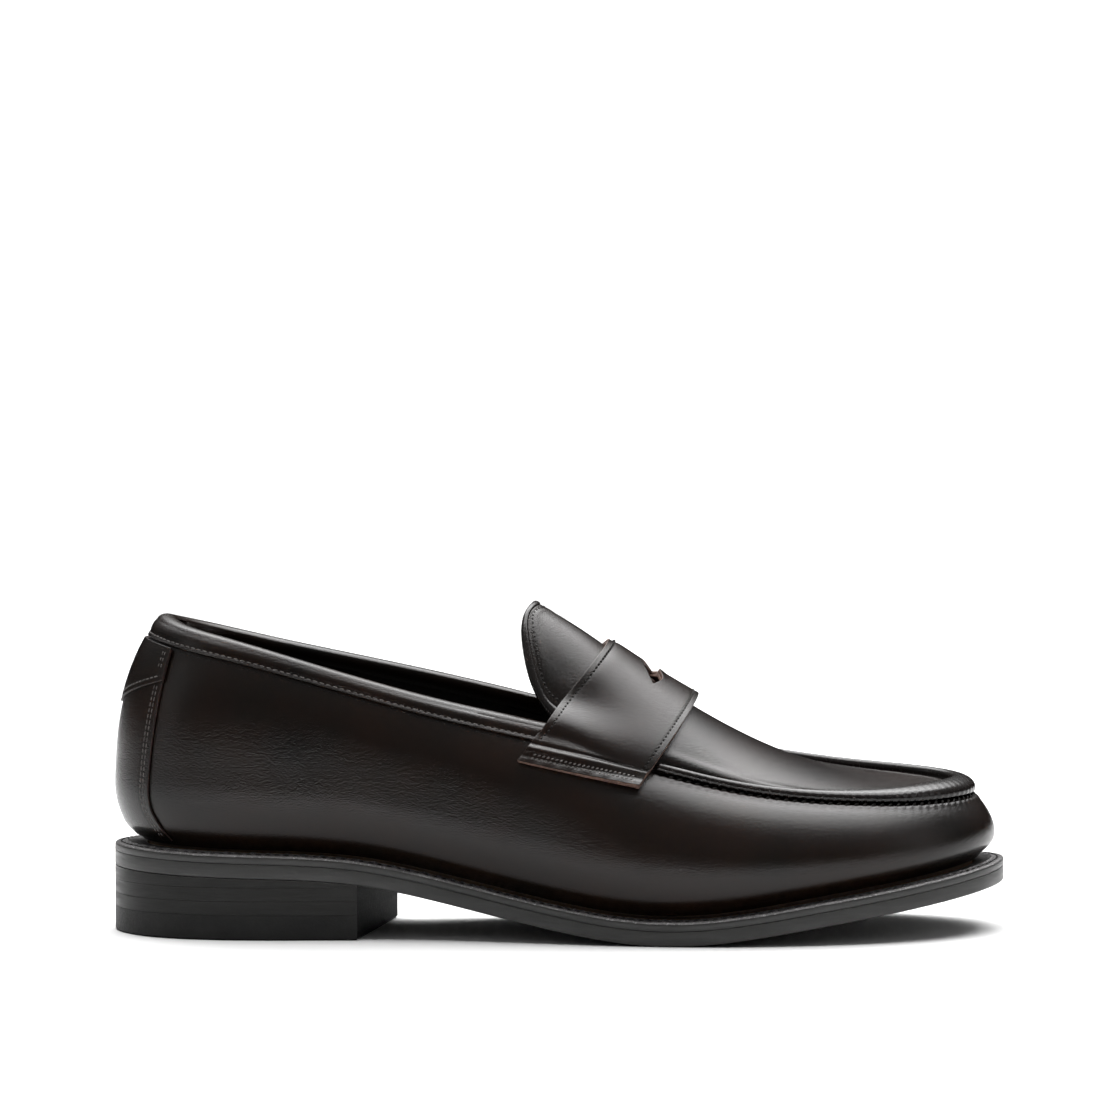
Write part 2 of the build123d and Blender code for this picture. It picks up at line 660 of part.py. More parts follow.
def on_saddle(x, z, side):
    """The point of the saddle's base surface at x and z, and the upright normal there."""
    knots = saddle_section(x)
    chord = np.concatenate([[0], np.cumsum(np.linalg.norm(np.diff(knots, axis=0), axis=1))])
    section = smooth(chord, knots)(np.linspace(0, chord[-1], 240))
    top = int(section[:, 2].argmax())
    half = section[:top + 1] if side < 0 else section[top:][::-1]
    y = np.interp(z, half[:, 2], half[:, 1])
    slope = (np.interp(z + 1, half[:, 2], half[:, 1]) - np.interp(z - 1, half[:, 2], half[:, 1])) / 2
    n = np.array([0.0, side, -side * slope])
    return np.array([x, y, z]), n / np.linalg.norm(n)


def line_on_saddle(p, q, side, steps=18):
    """A seam on one side of the saddle that looks straight from the side, from (x, z) p to q."""
    return [on_saddle(*between(p, q, k / steps), side) for k in range(steps + 1)]


def inside(p, q, distance):
    """The line from p to q moved to its left by distance, as seen from the side."""
    size = math.hypot(q[0] - p[0], q[1] - p[1])
    n = (-(q[1] - p[1]) / size * distance, (q[0] - p[0]) / size * distance)
    return (p[0] + n[0], p[1] + n[1]), (q[0] + n[0], q[1] + n[1])


def strap_pieces():
    outline = side_cut(*STRAP)
    slot = slot_prism()
    lining = (saddle_layer(STRAP_GAP, STRAP_GAP + STRAP_LINING_T) & outline) - slot
    top_low = STRAP_GAP + STRAP_LINING_T + GAP
    leather = (saddle_layer(top_low, top_low + STRAP_T) & outline) - slot
    back_low, front_low, front_high, back_high = STRAP
    low = top_low + STRAP_T + GAP + 0.1
    seams = []
    for side in (-1, 1):
        for distance in BAR_SEAMS:
            p, q = inside(back_low, front_low, distance)
            seams.append(thread(line_on_saddle(between(p, q, 0.06), between(p, q, 0.94), side), low))
        p, q = inside(front_low, front_high, EDGE_SEAM)
        seams.append(thread(line_on_saddle(between(p, q, 0.10), between(p, q, 0.62), side), low))
        p, q = inside(back_high, back_low, EDGE_SEAM)
        seams.append(thread(line_on_saddle(between(p, q, 0.34), between(p, q, 0.84), side), low))
    return {"saddle_strap": leather, "saddle_strap_lining": lining, "saddle_strap_stitches": seams}


# ---------------------------------------------------------------- collar, back stay and heel tab

COLLAR_U = 0.30          # how far the collar reaches forward, as a share of the way round
STRAP_CLEAR = 0.5        # air between the collar and the strap


def collar_section(u):
    """An L-shaped section: a band down the outside, rolled over the top edges of side and lining."""
    v = np.linspace(COLLAR_V, 1.0, 5)
    outer = off_wall(u, v, GAP + OVERLAY_T)
    inner = off_wall(u, v, GAP)
    n = outward(np.float64(u))
    back = np.array([n[0], n[1], 0.0]) * -(LEATHER_T + 1.1 + LINING_T + 4 * GAP)
    top = wall(u, 1.0)
    up = np.array([0, 0, 1.0])
    crown = top + back / 2 + up * (OVERLAY_T + 0.5)
    far_high = top + back + up * (OVERLAY_T * 0.7)
    far_low = top + back + up * 0.6
    near_low = top + up * 0.6
    a = points(outer)
    b = points(inner)
    over = points([outer[-1] + up * 0.5, crown, far_high])
    low = points([far_low, near_low])
    edges = [Spline(*a), Spline(a[-1], over[0], over[1], over[2]), Line(over[2], low[0]),
             Line(low[0], low[1]), Line(low[1], b[-1]), Spline(*b[::-1]), Line(b[0], a[0])]
    return Wire(edges)


def collar_pieces():
    us = np.linspace(-COLLAR_U, COLLAR_U, 37)
    band = Solid.make_loft([collar_section(u) for u in us], ruled=False)
    back_low = STRAP[0]
    back_high = STRAP[3]
    x_low = back_low[0] - STRAP_CLEAR
    x_high = back_high[0] - STRAP_CLEAR
    behind_strap = side_cut((-FAR, DEEP), (x_low, DEEP), (x_low, back_low[1]), (x_high, back_high[1]),
                            (x_high, TALL), (-FAR, TALL))
    stay_d = GAP + OVERLAY_T
    tab_d = stay_d + GAP
    tab_top = tab_d + OVERLAY_T * 0.8
    stay_high = COLLAR_V - 0.012
    stay = wall_layer(-STAY_U, STAY_U, 0.03, stay_high, GAP, stay_d, steps=12)
    tab_u = STAY_U * 1.02

    def tab_low(u):
        return COLLAR_V - 0.17 - 0.14 * (1 - abs(u) / tab_u)

    tab = wall_layer(-tab_u, tab_u, tab_low, stay_high, tab_d, tab_top, steps=16)
    tab_seam = wall_layer(-tab_u * 0.92, tab_u * 0.92, lambda u: tab_low(u) + 0.020,
                          lambda u: tab_low(u) + 0.030, tab_top + GAP,
                          tab_top + GAP + THREAD_T, steps=16, rows=3)
    seam_low = stay_d + GAP
    seam_high = seam_low + THREAD_T
    seam = wall_layer(-COLLAR_U, COLLAR_U, COLLAR_V + 0.018, COLLAR_V + 0.029, seam_low, seam_high,
                      steps=36, rows=3)
    stay_seams = []
    for inset in (0.0035, 0.0060):
        for side in (-1, 1):
            u = side * (STAY_U - inset)
            stay_seams.append(
                wall_layer(u - 0.0004, u + 0.0004, 0.06, COLLAR_V - 0.20, seam_low, seam_high, steps=1))
    return {
        "collar_band": band & behind_strap,
        "collar_stitches": seam & behind_strap,
        "back_stay": stay,
        "back_stay_stitches": stay_seams,
        "heel_tab": tab,
        "heel_tab_stitches": tab_seam,
    }


# ---------------------------------------------------------------- write the pieces

def solids_of(shape):
    """Every solid in a shape or a list of shapes."""
    if isinstance(shape, list):
        return [s for one in shape for s in solids_of(one)]
    return list(shape.solids())


def main():
    os.makedirs("parts", exist_ok=True)
    pieces = {}
    makers = [heel_pieces, sole_pieces, side_pieces, apron_pieces, ridge_pieces, strap_pieces, collar_pieces]
    for make in makers:
        pieces.update(make())
    for name, shape in pieces.items():
        solids = solids_of(shape)
        out = solids[0] if len(solids) == 1 else Compound(children=solids)
        out.label = name
        export_step(out, os.path.join("parts", name + ".step"))
        print(name, len(solids), round(sum(s.volume for s in solids), 1))


main()
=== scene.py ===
import math

import bmesh
import bpy
import numpy as np
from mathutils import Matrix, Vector


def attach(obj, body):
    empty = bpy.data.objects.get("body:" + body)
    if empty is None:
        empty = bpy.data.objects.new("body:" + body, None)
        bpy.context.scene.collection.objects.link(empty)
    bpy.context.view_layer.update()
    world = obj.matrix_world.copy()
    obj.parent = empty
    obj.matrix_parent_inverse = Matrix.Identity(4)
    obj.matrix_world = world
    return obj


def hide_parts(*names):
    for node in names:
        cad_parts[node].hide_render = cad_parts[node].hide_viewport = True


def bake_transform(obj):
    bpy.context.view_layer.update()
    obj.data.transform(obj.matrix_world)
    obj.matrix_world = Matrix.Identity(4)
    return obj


# The looks of a right-foot penny loafer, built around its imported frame. Shapes are worked out in millimetres
# with the same smooth curves as the frame, and every mesh is made in metres.

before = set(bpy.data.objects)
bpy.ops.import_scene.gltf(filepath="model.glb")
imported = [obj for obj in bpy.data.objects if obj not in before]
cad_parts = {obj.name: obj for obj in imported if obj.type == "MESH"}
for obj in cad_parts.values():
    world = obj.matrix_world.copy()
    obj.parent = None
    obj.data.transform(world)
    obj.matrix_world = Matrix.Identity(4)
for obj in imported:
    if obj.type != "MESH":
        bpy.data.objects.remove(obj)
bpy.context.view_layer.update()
MM = 0.001

# ---------------------------------------------------------------- driving dimensions

HALF_LENGTH = 150.0      # half the length of the sole
WELT_T = 3.0             # thickness of the welt strip
OUTSOLE_T = 5.0          # thickness of the outsole
SOLE_T = OUTSOLE_T + WELT_T
HEEL_PAD_T = 1.4         # foam pad under the sock liner's heel
LEATHER_T = 1.3          # upper leather
LINING_T = 0.9           # lining leather
LINING_DEPTH = 2.8       # from the side's outer skin to its lining
GAP = 0.2                # air between two sewn layers

HEEL_BREAST = -68.5      # front of the heel on the outer side
HEEL_BREAST_SLOPE = 15.0 # how much further forward the breast is on the inner side
TOP_PIECE_Z = 8.4        # the heel's layers, from the ground up
LIFT_3_Z = 13.0
LIFT_2_Z = 17.6
HEEL_CEILING = 40.0      # above the sole, which cuts off the last lift
HEEL_TURN = 690.0        # millimetres along the side for each turn of u, near the heel
STAY_TOP = 0.888         # v of the top of the back stay and the heel tab
TAB_HALF = 0.0459        # u of the heel tab's corners
BACK_HEIGHT = 75.0        # millimetres up the back for each unit of v

TONGUE_END = 18.0        # front edge of the tongue, under the strap
RIDGE_PITCH = 3.0        # from one stitch under the ridge to the next
SLOT_X = 29.0            # middle of the saddle strap's slot
SLOT_HALF = 13.0         # half its length across the shoe
SLOT_WIDTH = 7.0

# The sole's edge, clockwise from the back of the heel along the outer side, over the toe and back.
# Each station gives the place of the edge, the width of welt showing beside the upper, how far the
# upper bulges low down and high up, how far its top edge leans out (or in), and how high that edge is.
STATIONS = [
    # x,      y,    welt, low, high, lean, top
    (-150.0, 1.2, 7.5, 12.0, 5.0, -8.5, 104.2),
    (-138.5, -21.8, 7.0, 11.0, 5.5, -7.5, 102.2),
    (-112.0, -32.3, 5.5, 9.0, 6.5, -3.5, 97.6),
    (-72.0, -32.8, 4.5, 9.0, 7.0, -1.0, 86.4),
    (-34.0, -35.8, 4.5, 9.5, 7.5, -2.0, 76.0),
    (6.0, -44.8, 5.0, 9.5, 7.5, -6.0, 66.8),
    (46.0, -50.8, 5.5, 8.5, 7.0, -10.0, 54.2),
    (86.0, -47.3, 5.5, 7.0, 6.0, -10.0, 46.2),
    (121.0, -34.8, 5.8, 5.5, 5.0, -9.5, 45.2),
    (142.5, -15.8, 6.3, 4.5, 4.0, -9.0, 47.2),
    (150.0, 5.7, 6.5, 4.3, 3.5, -8.5, 48.6),
    (144.5, 24.7, 6.3, 4.5, 4.0, -9.0, 49.2),
    (125.0, 40.2, 5.8, 5.5, 5.0, -9.5, 49.2),
    (94.0, 48.7, 5.5, 7.0, 6.0, -10.0, 51.7),
    (58.0, 50.7, 5.0, 8.5, 7.0, -10.0, 57.2),
    (22.0, 42.7, 4.0, 9.5, 7.5, -6.0, 65.4),
    (-16.0, 32.2, 3.0, 9.5, 7.5, -1.0, 76.4),
    (-56.0, 29.2, 3.0, 9.0, 7.0, -0.5, 86.0),
    (-90.0, 31.2, 4.5, 8.5, 6.0, -2.0, 93.4),
    (-118.0, 32.7, 5.5, 9.0, 6.0, -4.5, 99.3),
    (-140.0, 22.2, 7.0, 11.0, 5.5, -7.5, 102.8),
]


# ---------------------------------------------------------------- smooth curves

def smooth(knots, values):
    """A natural cubic spline through values at knots, as a function of one variable."""
    t = np.asarray(knots, float)
    y = np.asarray(values, float)
    h = np.diff(t)
    a = np.eye(len(t))
    b = np.zeros_like(y)
    for i in range(1, len(t) - 1):
        a[i, i - 1] = h[i - 1]
        a[i, i] = 2 * (h[i - 1] + h[i])
        a[i, i + 1] = h[i]
        b[i] = 6 * ((y[i + 1] - y[i]) / h[i] - (y[i] - y[i - 1]) / h[i - 1])
    m = np.linalg.solve(a, b)

    def at(x):
        x = np.asarray(x, float)
        i = np.clip(np.searchsorted(t, x, side="right") - 1, 0, len(h) - 1)
        p = t[i + 1] - x
        q = x - t[i]
        s = h[i]
        if y.ndim > 1:
            p, q, s = p[..., None], q[..., None], s[..., None]
        bend = (m[i] * p**3 + m[i + 1] * q**3) / (6 * s)
        return bend + (y[i] / s - m[i] * s / 6) * p + (y[i + 1] / s - m[i + 1] * s / 6) * q

    return at


def ring(rows, wrap=4):
    """A closed smooth curve through rows, as a function of the share of the way round."""
    r = np.asarray(rows, float)
    step = np.linalg.norm(np.diff(np.vstack([r, r[:1]])[:, :2], axis=0), axis=1)
    share = np.concatenate([[0], np.cumsum(step)]) / step.sum()
    knots = np.concatenate([share[-1 - wrap:-1] - 1, share, share[1:1 + wrap] + 1])
    values = np.vstack([r[-wrap:], r, r[:1], r[1:1 + wrap]])
    curve = smooth(knots, values)
    return lambda u: curve(np.mod(u, 1.0))


def bezier(a, b, c, d, v):
    w = 1 - v
    return a * w**3 + 3 * b * w * w * v + 3 * c * w * v * v + d * v**3


def ease(x, low, high):
    """0 below low, 1 above high, and a smooth step between."""
    t = np.clip((x - low) / (high - low), 0, 1)
    return t * t * (3 - 2 * t)


def hump(x, at, width):
    """1 where x is at, falling away smoothly on both sides."""
    return np.exp(-((x - at) / width) ** 2)


def unit(v):
    return v / np.maximum(np.linalg.norm(v, axis=-1, keepdims=True), 1e-9)


def with_z(xy, z):
    return np.concatenate([xy, z[..., None]], -1)


def lengths(path):
    """How far along a line of points each of them is."""
    return np.concatenate([[0], np.cumsum(np.linalg.norm(np.diff(path, axis=0), axis=1))])


def evenly(path, count):
    """A line of points again, with count points evenly spaced."""
    size = lengths(path)
    at = np.linspace(0, size[-1], count)
    return np.stack([np.interp(at, size, column) for column in path.T], -1)


def curve_through(points, count):
    """A smooth line of count points through a few points."""
    size = lengths(points)
    return smooth(size, points)(np.linspace(0, size[-1], count))


# ---------------------------------------------------------------- the shape of the shoe

station = ring(STATIONS)

# height of the outsole's underside along the shoe: the heel seat, the waist, the ball and the toe
sole_bottom = smooth(
    [-150, -110, -67, -36, -4, 27, 45, 80, 120, 150],
    [22.0, 20.6, 18.2, 12.0, 4.8, 0.35, 0.45, 5.1, 11.4, 16.3],
)
# the top of the shoe: height along the middle, and at half width on the outer and inner side
crest = smooth(
    [-14, -7, 14, 30, 47, 61, 75, 90, 110, 128, 140],
    [113.4, 109.6, 96.3, 84.9, 73.9, 65.9, 59.1, 53.9, 50.3, 48.9, 48.4],
)
outer_fall = smooth([-14, 5, 30, 46, 74, 101, 123, 140], [73.6, 67.0, 59.4, 53.6, 47.6, 45.4, 45.7, 47.6])
inner_fall = smooth([-14, 5, 30, 46, 74, 101, 123, 140], [79.1, 72.2, 64.2, 59.2, 53.6, 50.6, 49.6, 49.1])
half_width = smooth([-14, 5, 30, 60, 90, 120, 140], [27, 29.5, 33.5, 36, 35.5, 34, 33])
middle = smooth([-14, 30, 70, 110, 140], [0.7, 0.2, 1.7, 3.7, 5.2])


def outward(u):
    """Unit normal of the sole's edge, pointing away from the foot."""
    e = 1e-4
    d = station(u + e)[..., :2] - station(u - e)[..., :2]
    t = d / np.linalg.norm(d, axis=-1, keepdims=True)
    return np.stack([t[..., 1], -t[..., 0]], -1)


def top_surface(x, y):
    """Height of the apron and tongue."""
    z0 = crest(x)
    tilt = (inner_fall(x) - outer_fall(x)) / 2
    drop = (inner_fall(x) + outer_fall(x)) / 2 - z0
    k = (y - middle(x)) / half_width(x)
    return z0 + tilt * k + drop * k * k


def wall(u, v):
    """Outer skin of the sides: u is the share of the way round, v runs from the welt to the top edge."""
    u, v = np.broadcast_arrays(np.asarray(u, float), np.asarray(v, float))
    s = station(u)
    n = outward(u)
    foot = s[..., :2] - n * s[..., 2:3]
    low = s[..., 3]
    high = s[..., 4]
    lean = s[..., 5]
    foot_z = sole_bottom(foot[..., 0]) + SOLE_T
    edge = foot + n * lean[..., None]
    apron_z = top_surface(edge[..., 0], edge[..., 1])
    top_z = s[..., 6] + (apron_z - s[..., 6]) * ease(edge[..., 0], 0, 40)
    out = bezier(0 * low, low, high, lean, v)
    rise = bezier(0 * v, 0 * v + 0.30, 0 * v + 0.78, 0 * v + 1.0, v)
    return with_z(foot + n * out[..., None], foot_z + (top_z - foot_z) * rise)


def wall_normal(u, v):
    e = 1e-4
    return unit(np.cross(wall(u + e, v) - wall(u - e, v), wall(u, v + e) - wall(u, v - e)))


def off(u, v, d):
    """Points d off the wall."""
    u, v, d = np.broadcast_arrays(np.asarray(u, float), np.asarray(v, float), np.asarray(d, float))
    return wall(u, v) + wall_normal(u, v) * d[..., None]


def flat_out(u):
    """The sole edge's outward normals, as level vectors in space."""
    out = outward(u)
    return with_z(out, np.zeros(len(out)))


def half_turn(side, count):
    """Shares of the way round from the heel to the toe, on the outer (-1) or inner (+1) side."""
    return np.linspace(0.0 if side < 0 else 1.0, 0.5, count)


def u_at(x, side):
    """Share of the way round where the top edge passes x."""
    us = half_turn(side, 400)
    return float(np.interp(x, wall(us, 1.0)[:, 0], us))


# the strap seen from the side: lower back, lower front, upper front and upper back corner
STRAP = [(-13.8, 59.8), (25.8, 51.2), (50.6, 84.0), (21.6, 104.0)]
STRAP_GAP = 0.5          # air under its lining
STRAP_LINING_T = 0.9
STRAP_T = 1.1
STRAP_SHOULDER = 0.8     # how far it stands off the top edges of the sides
STRAP_BRIDGE = 0.9       # and off the step inside them
STRAP_RISE_BACK = 0.8    # how far the strap stands off the instep where it bridges the two sides
STRAP_RISE_FRONT = 2.2


def saddle_section(x):
    """Points over the shoe at one x, from low on the outer side to low on the inner side."""
    heights = [0.58, 0.68, 0.78, 0.88, 0.95, 1.0]
    sides = []
    for side in (-1, 1):
        row = []
        for v in heights:
            u = u_at(x, side)
            for _ in range(6):
                p = wall(u, v)
                q = wall(u + 1e-3, v)
                u = u + (x - p[0]) * 1e-3 / (q[0] - p[0])
            row.append(wall(u, v))
        row[-1] = row[-1] + np.array([0.0, side * STRAP_SHOULDER, STRAP_SHOULDER])
        sides.append(row)
    left = wall(u_at(x, -1), 1.0)[1]
    right = wall(u_at(x, 1), 1.0)[1]
    over = []
    rise = STRAP_RISE_BACK + (STRAP_RISE_FRONT - STRAP_RISE_BACK) * float(ease(x, 15.0, 47.0))
    for share in (0.13, 0.24, 0.37, 0.5, 0.63, 0.76, 0.87):
        y = left + (right - left) * share
        bridge = STRAP_BRIDGE * (1 - float(ease(min(share, 1 - share), 0.1, 0.3)))
        lift = STRAP_SHOULDER + bridge + (rise - STRAP_SHOULDER) * math.sin(math.pi * share)
        over.append([x, y, float(top_surface(x, y)) + lift])
    section = np.array(sides[0] + over + sides[1][::-1])
    section[:, 0] = x
    return section


def tongue_outline(inset):
    """Plan of the tongue: a broad flap with rounded corners."""
    half = 26.8 - inset
    back = -12.6 + inset
    return [(30, -half), (4, -half - 0.8), (-5.0, -half + 1.5), (back + 1.3, -half + 7.5), (back, -half + 15),
            (back + 3.8, 1.0), (back + 1.8, half - 14), (back + 2.6, half - 6.5), (-5.0, half - 0.5),
            (4, half + 1.8), (30, half + 1.0)]


# ---------------------------------------------------------------- materials

def make_node(tree, kind, **inputs):
    """A new shader node. Each input, with _ for a space in its name, is a value or another node's output."""
    n = tree.nodes.new("ShaderNode" + kind)
    for name, value in inputs.items():
        socket = n.inputs[name.replace("_", " ")]
        if isinstance(value, bpy.types.NodeSocket):
            tree.links.new(value, socket)
        else:
            socket.default_value = value
    return n


def noise(tree, vector, pitch, detail=3.0, rough=0.55):
    """Soft noise with features about pitch millimetres across."""
    return make_node(tree, "TexNoise", Vector=vector, Scale=1.0 / (pitch * MM), Detail=detail,
                     Roughness=rough).outputs[0]


def cells(tree, vector, pitch):
    """Rounded cells about pitch millimetres across, like leather grain."""
    n = tree.nodes.new("ShaderNodeTexVoronoi")
    n.feature = "SMOOTH_F1"
    n.inputs["Scale"].default_value = 1.0 / (pitch * MM)
    n.inputs["Smoothness"].default_value = 0.6
    tree.links.new(vector, n.inputs["Vector"])
    return n.outputs["Distance"]


def ramp(tree, value, stops):
    r = tree.nodes.new("ShaderNodeValToRGB")
    tree.links.new(value, r.inputs[0])
    e = r.color_ramp.elements
    while len(e) < len(stops):
        e.new(0.5)
    for k, (at, colour) in enumerate(stops):
        e[k].position = at
        e[k].color = (*colour, 1.0)
    return r.outputs[0]


def remap(tree, value, low, high, to_low, to_high):
    r = tree.nodes.new("ShaderNodeMapRange")
    for k, x in enumerate((low, high, to_low, to_high)):
        r.inputs[k + 1].default_value = x
    tree.links.new(value, r.inputs[0])
    return r.outputs[0]


def mixed(tree, share, a, b):
    """Colour a where share is 0 and b where it is 1; each may be a colour or a socket."""
    m = tree.nodes.new("ShaderNodeMix")
    m.data_type = "RGBA"
    tree.links.new(share, m.inputs[0])
    for socket, c in ((m.inputs[6], a), (m.inputs[7], b)):
        if isinstance(c, tuple):
            socket.default_value = (*c, 1.0)
        else:
            tree.links.new(c, socket)
    return m.outputs[2]


def finish(name, dark, light, patch, rough, spread, grain, specular=0.5, coat=0.0, coat_rough=0.2,
           metal=0.0, stretch=(1.0, 1.0, 1.0), flecks=None):
    """A material whose colour wanders between dark and light over patch millimetres and whose roughness
    wanders by spread. grain lists bumps as (kind, pitch, depth); flecks is (share, colour, pitch)."""
    m = bpy.data.materials.new(name)
    m.use_nodes = True
    tree = m.node_tree
    tree.nodes.clear()
    v = make_node(tree, "Mapping", Vector=make_node(tree, "TexCoord").outputs["Object"], Scale=stretch).outputs[0]
    colour = ramp(tree, noise(tree, v, patch, 4.0, 0.6), [(0.32, dark), (0.68, light)])
    fine = noise(tree, v, max(0.5, patch / 12), 2.0, 0.6)
    if flecks:
        share, fleck, pitch = flecks
        spots = remap(tree, noise(tree, v, pitch, 2.0, 0.7), 0.62 - share, 0.70 - share * 0.6, 0.0, 1.0)
        colour = mixed(tree, spots, colour, fleck)
    bump = {}
    for kind, pitch, depth in grain:
        height = (cells if kind == "cells" else noise)(tree, v, pitch)
        bump = {"Normal": make_node(tree, "Bump", Strength=1.0, Distance=depth * MM, Height=height, **bump).outputs[0]}
    bsdf = make_node(tree, "BsdfPrincipled", Base_Color=colour, Specular_IOR_Level=specular, Metallic=metal,
                     Roughness=remap(tree, fine, 0.3, 0.7, rough - spread, rough + spread),
                     Coat_Weight=coat, Coat_Roughness=coat_rough, **bump)
    make_node(tree, "OutputMaterial", Surface=bsdf.outputs[0])
    return m


ESPRESSO = (0.0020, 0.0015, 0.0010)
OXBLOOD = (0.0075, 0.0030, 0.0014)

calf = finish("burnished_calf", ESPRESSO, OXBLOOD, 34.0, 0.22, 0.02,
              [("noise", 11.0, 0.03), ("noise", 0.6, 0.12), ("noise", 0.35, 0.06)],
              specular=0.28, coat=0.03, coat_rough=0.15)
calf_rolled = finish("rolled_calf", (0.0022, 0.0018, 0.0016), (0.006, 0.0034, 0.0026), 12.0, 0.25, 0.04,
                     [("noise", 1.0, 0.03), ("noise", 0.5, 0.03)], specular=0.3, coat=0.10, coat_rough=0.12)
raw_edge = finish("raw_leather_edge", (0.035, 0.017, 0.012), (0.12, 0.065, 0.048), 1.4, 0.62, 0.1,
                  [("noise", 0.9, 0.12), ("noise", 0.25, 0.06)], specular=0.4,
                  flecks=(0.06, (0.26, 0.17, 0.13), 0.5))
dyed_edge = finish("dyed_leather_edge", (0.006, 0.004, 0.004), (0.03, 0.014, 0.010), 2.0, 0.5, 0.1,
                   [("noise", 0.8, 0.06), ("noise", 0.25, 0.03)], specular=0.4)
lining = finish("lining_leather", (0.005, 0.0045, 0.004), (0.011, 0.009, 0.008), 22.0, 0.55, 0.08,
                [("noise", 6.0, 0.08), ("cells", 0.7, 0.03)], specular=0.35)
flesh = finish("insole_leather", (0.05, 0.033, 0.022), (0.10, 0.066, 0.042), 14.0, 0.7, 0.08,
               [("noise", 1.2, 0.05), ("noise", 0.3, 0.02)], specular=0.3)
welt_leather = finish("welt_leather", (0.028, 0.026, 0.026), (0.085, 0.080, 0.080), 3.0, 0.42, 0.14,
                      [("noise", 1.6, 0.30), ("noise", 0.5, 0.16), ("cells", 0.9, 0.10)], specular=0.75,
                      flecks=(0.06, (0.24, 0.23, 0.235), 0.8))
sole_edge = finish("waxed_sole_edge", (0.005, 0.005, 0.0045), (0.012, 0.0115, 0.0105), 26.0, 0.40, 0.08,
                   [("noise", 7.0, 0.10), ("noise", 0.6, 0.05)], specular=0.5, stretch=(0.12, 0.12, 1.0))
stacked = finish("stacked_heel", (0.004, 0.004, 0.0036), (0.010, 0.0096, 0.0088), 20.0, 0.42, 0.08,
                 [("noise", 6.0, 0.10), ("noise", 0.5, 0.05)], specular=0.25, stretch=(0.10, 0.10, 1.0))
rubber = finish("heel_rubber", (0.005, 0.005, 0.005), (0.010, 0.010, 0.0096), 9.0, 0.5, 0.07,
                [("noise", 1.0, 0.05), ("noise", 0.3, 0.03)], specular=0.22)
# Painted shade: a near-black, barely reflective finish for the front face of the heel, standing in for the shade that
# falls on the heel's breast.
breast_painted_shade = finish("heel_breast_painted_shade", (0.002, 0.002, 0.002), (0.004, 0.004, 0.0038), 6.0, 0.7, 0.08,
                      [("noise", 2.0, 0.10), ("noise", 0.5, 0.05)], specular=0.06)
thread_dark = finish("waxed_thread", (0.0020, 0.0017, 0.0015), (0.006, 0.005, 0.004), 1.5, 0.6, 0.08,
                     [("noise", 0.35, 0.05)], specular=0.2)
thread_grey = finish("upper_thread", (0.03, 0.027, 0.025), (0.09, 0.08, 0.075), 1.5, 0.5, 0.08,
                     [("noise", 0.3, 0.05)], specular=0.5)
canvas = finish("rib_canvas", (0.16, 0.14, 0.11), (0.24, 0.21, 0.17), 3.0, 0.85, 0.05,
                [("noise", 0.6, 0.12)], specular=0.2)
cork = finish("cork", (0.10, 0.05, 0.02), (0.24, 0.14, 0.07), 2.2, 0.85, 0.05,
              [("cells", 1.5, 0.2), ("noise", 0.5, 0.08)], specular=0.2)
foam = finish("foam", (0.03, 0.03, 0.03), (0.06, 0.06, 0.058), 2.0, 0.9, 0.05,
              [("cells", 0.6, 0.1)], specular=0.2)
stiffener = finish("stiffener_board", (0.22, 0.17, 0.12), (0.32, 0.26, 0.19), 5.0, 0.8, 0.05,
                   [("noise", 0.8, 0.08)], specular=0.25)
steel = finish("steel", (0.30, 0.30, 0.31), (0.45, 0.45, 0.46), 12.0, 0.32, 0.08,
               [("noise", 0.8, 0.01)], metal=1.0, stretch=(0.1, 1.0, 1.0))


# ---------------------------------------------------------------- mesh building

def add_piece(name, verts, faces, materials, rim_from=None, bevel=0.0, sharp=48.0):
    """A new mesh from points in millimetres. Faces from rim_from on take the second material."""
    mesh = bpy.data.meshes.new(name)
    mesh.from_pydata((np.asarray(verts, float) * MM).tolist(), [], [list(f) for f in faces])
    for m in materials:
        mesh.materials.append(m)
    if rim_from is not None:
        kind = np.zeros(len(mesh.polygons), np.int32)
        kind[rim_from:] = 1
        mesh.polygons.foreach_set("material_index", kind)
    bm = bmesh.new()
    bm.from_mesh(mesh)
    bmesh.ops.recalc_face_normals(bm, faces=bm.faces)
    bm.to_mesh(mesh)
    bm.free()
    obj = bpy.data.objects.new(name, mesh)
    bpy.context.scene.collection.objects.link(obj)
    if bevel:
        edge = obj.modifiers.new("edge", "BEVEL")
        edge.width = bevel * MM
        edge.segments = 2
        edge.limit_method = "ANGLE"
        edge.angle_limit = math.radians(50)
        bake(obj)
    obj.data.shade_smooth()
    obj.data.set_sharp_from_angle(angle=math.radians(sharp))
    return obj


def bake(obj):
    """Applies the object's modifiers to its mesh."""
    bpy.context.view_layer.update()
    graph = bpy.context.evaluated_depsgraph_get()
    mesh = bpy.data.meshes.new_from_object(obj.evaluated_get(graph))
    obj.modifiers.clear()
    obj.data = mesh


def grid_faces(rows, cols, wrap=False):
    i, j = np.meshgrid(np.arange(rows - 1), np.arange(cols if wrap else cols - 1), indexing="ij")
    k = (j + 1) % cols
    return np.stack([i * cols + j, i * cols + k, (i + 1) * cols + k, (i + 1) * cols + j], -1).reshape(-1, 4)


def merged(verts, faces):
    """Which points to keep and the faces between them, when points in one place become one."""
    _, first, back = np.unique(np.round(verts, 3), axis=0, return_index=True, return_inverse=True)
    kept = []
    for f in back.reshape(-1)[np.asarray(faces)].tolist():
        g = [a for k, a in enumerate(f) if a != f[k - 1]]
        if len(set(g)) == len(g) and len(g) > 2:
            kept.append(g)
    return first, kept


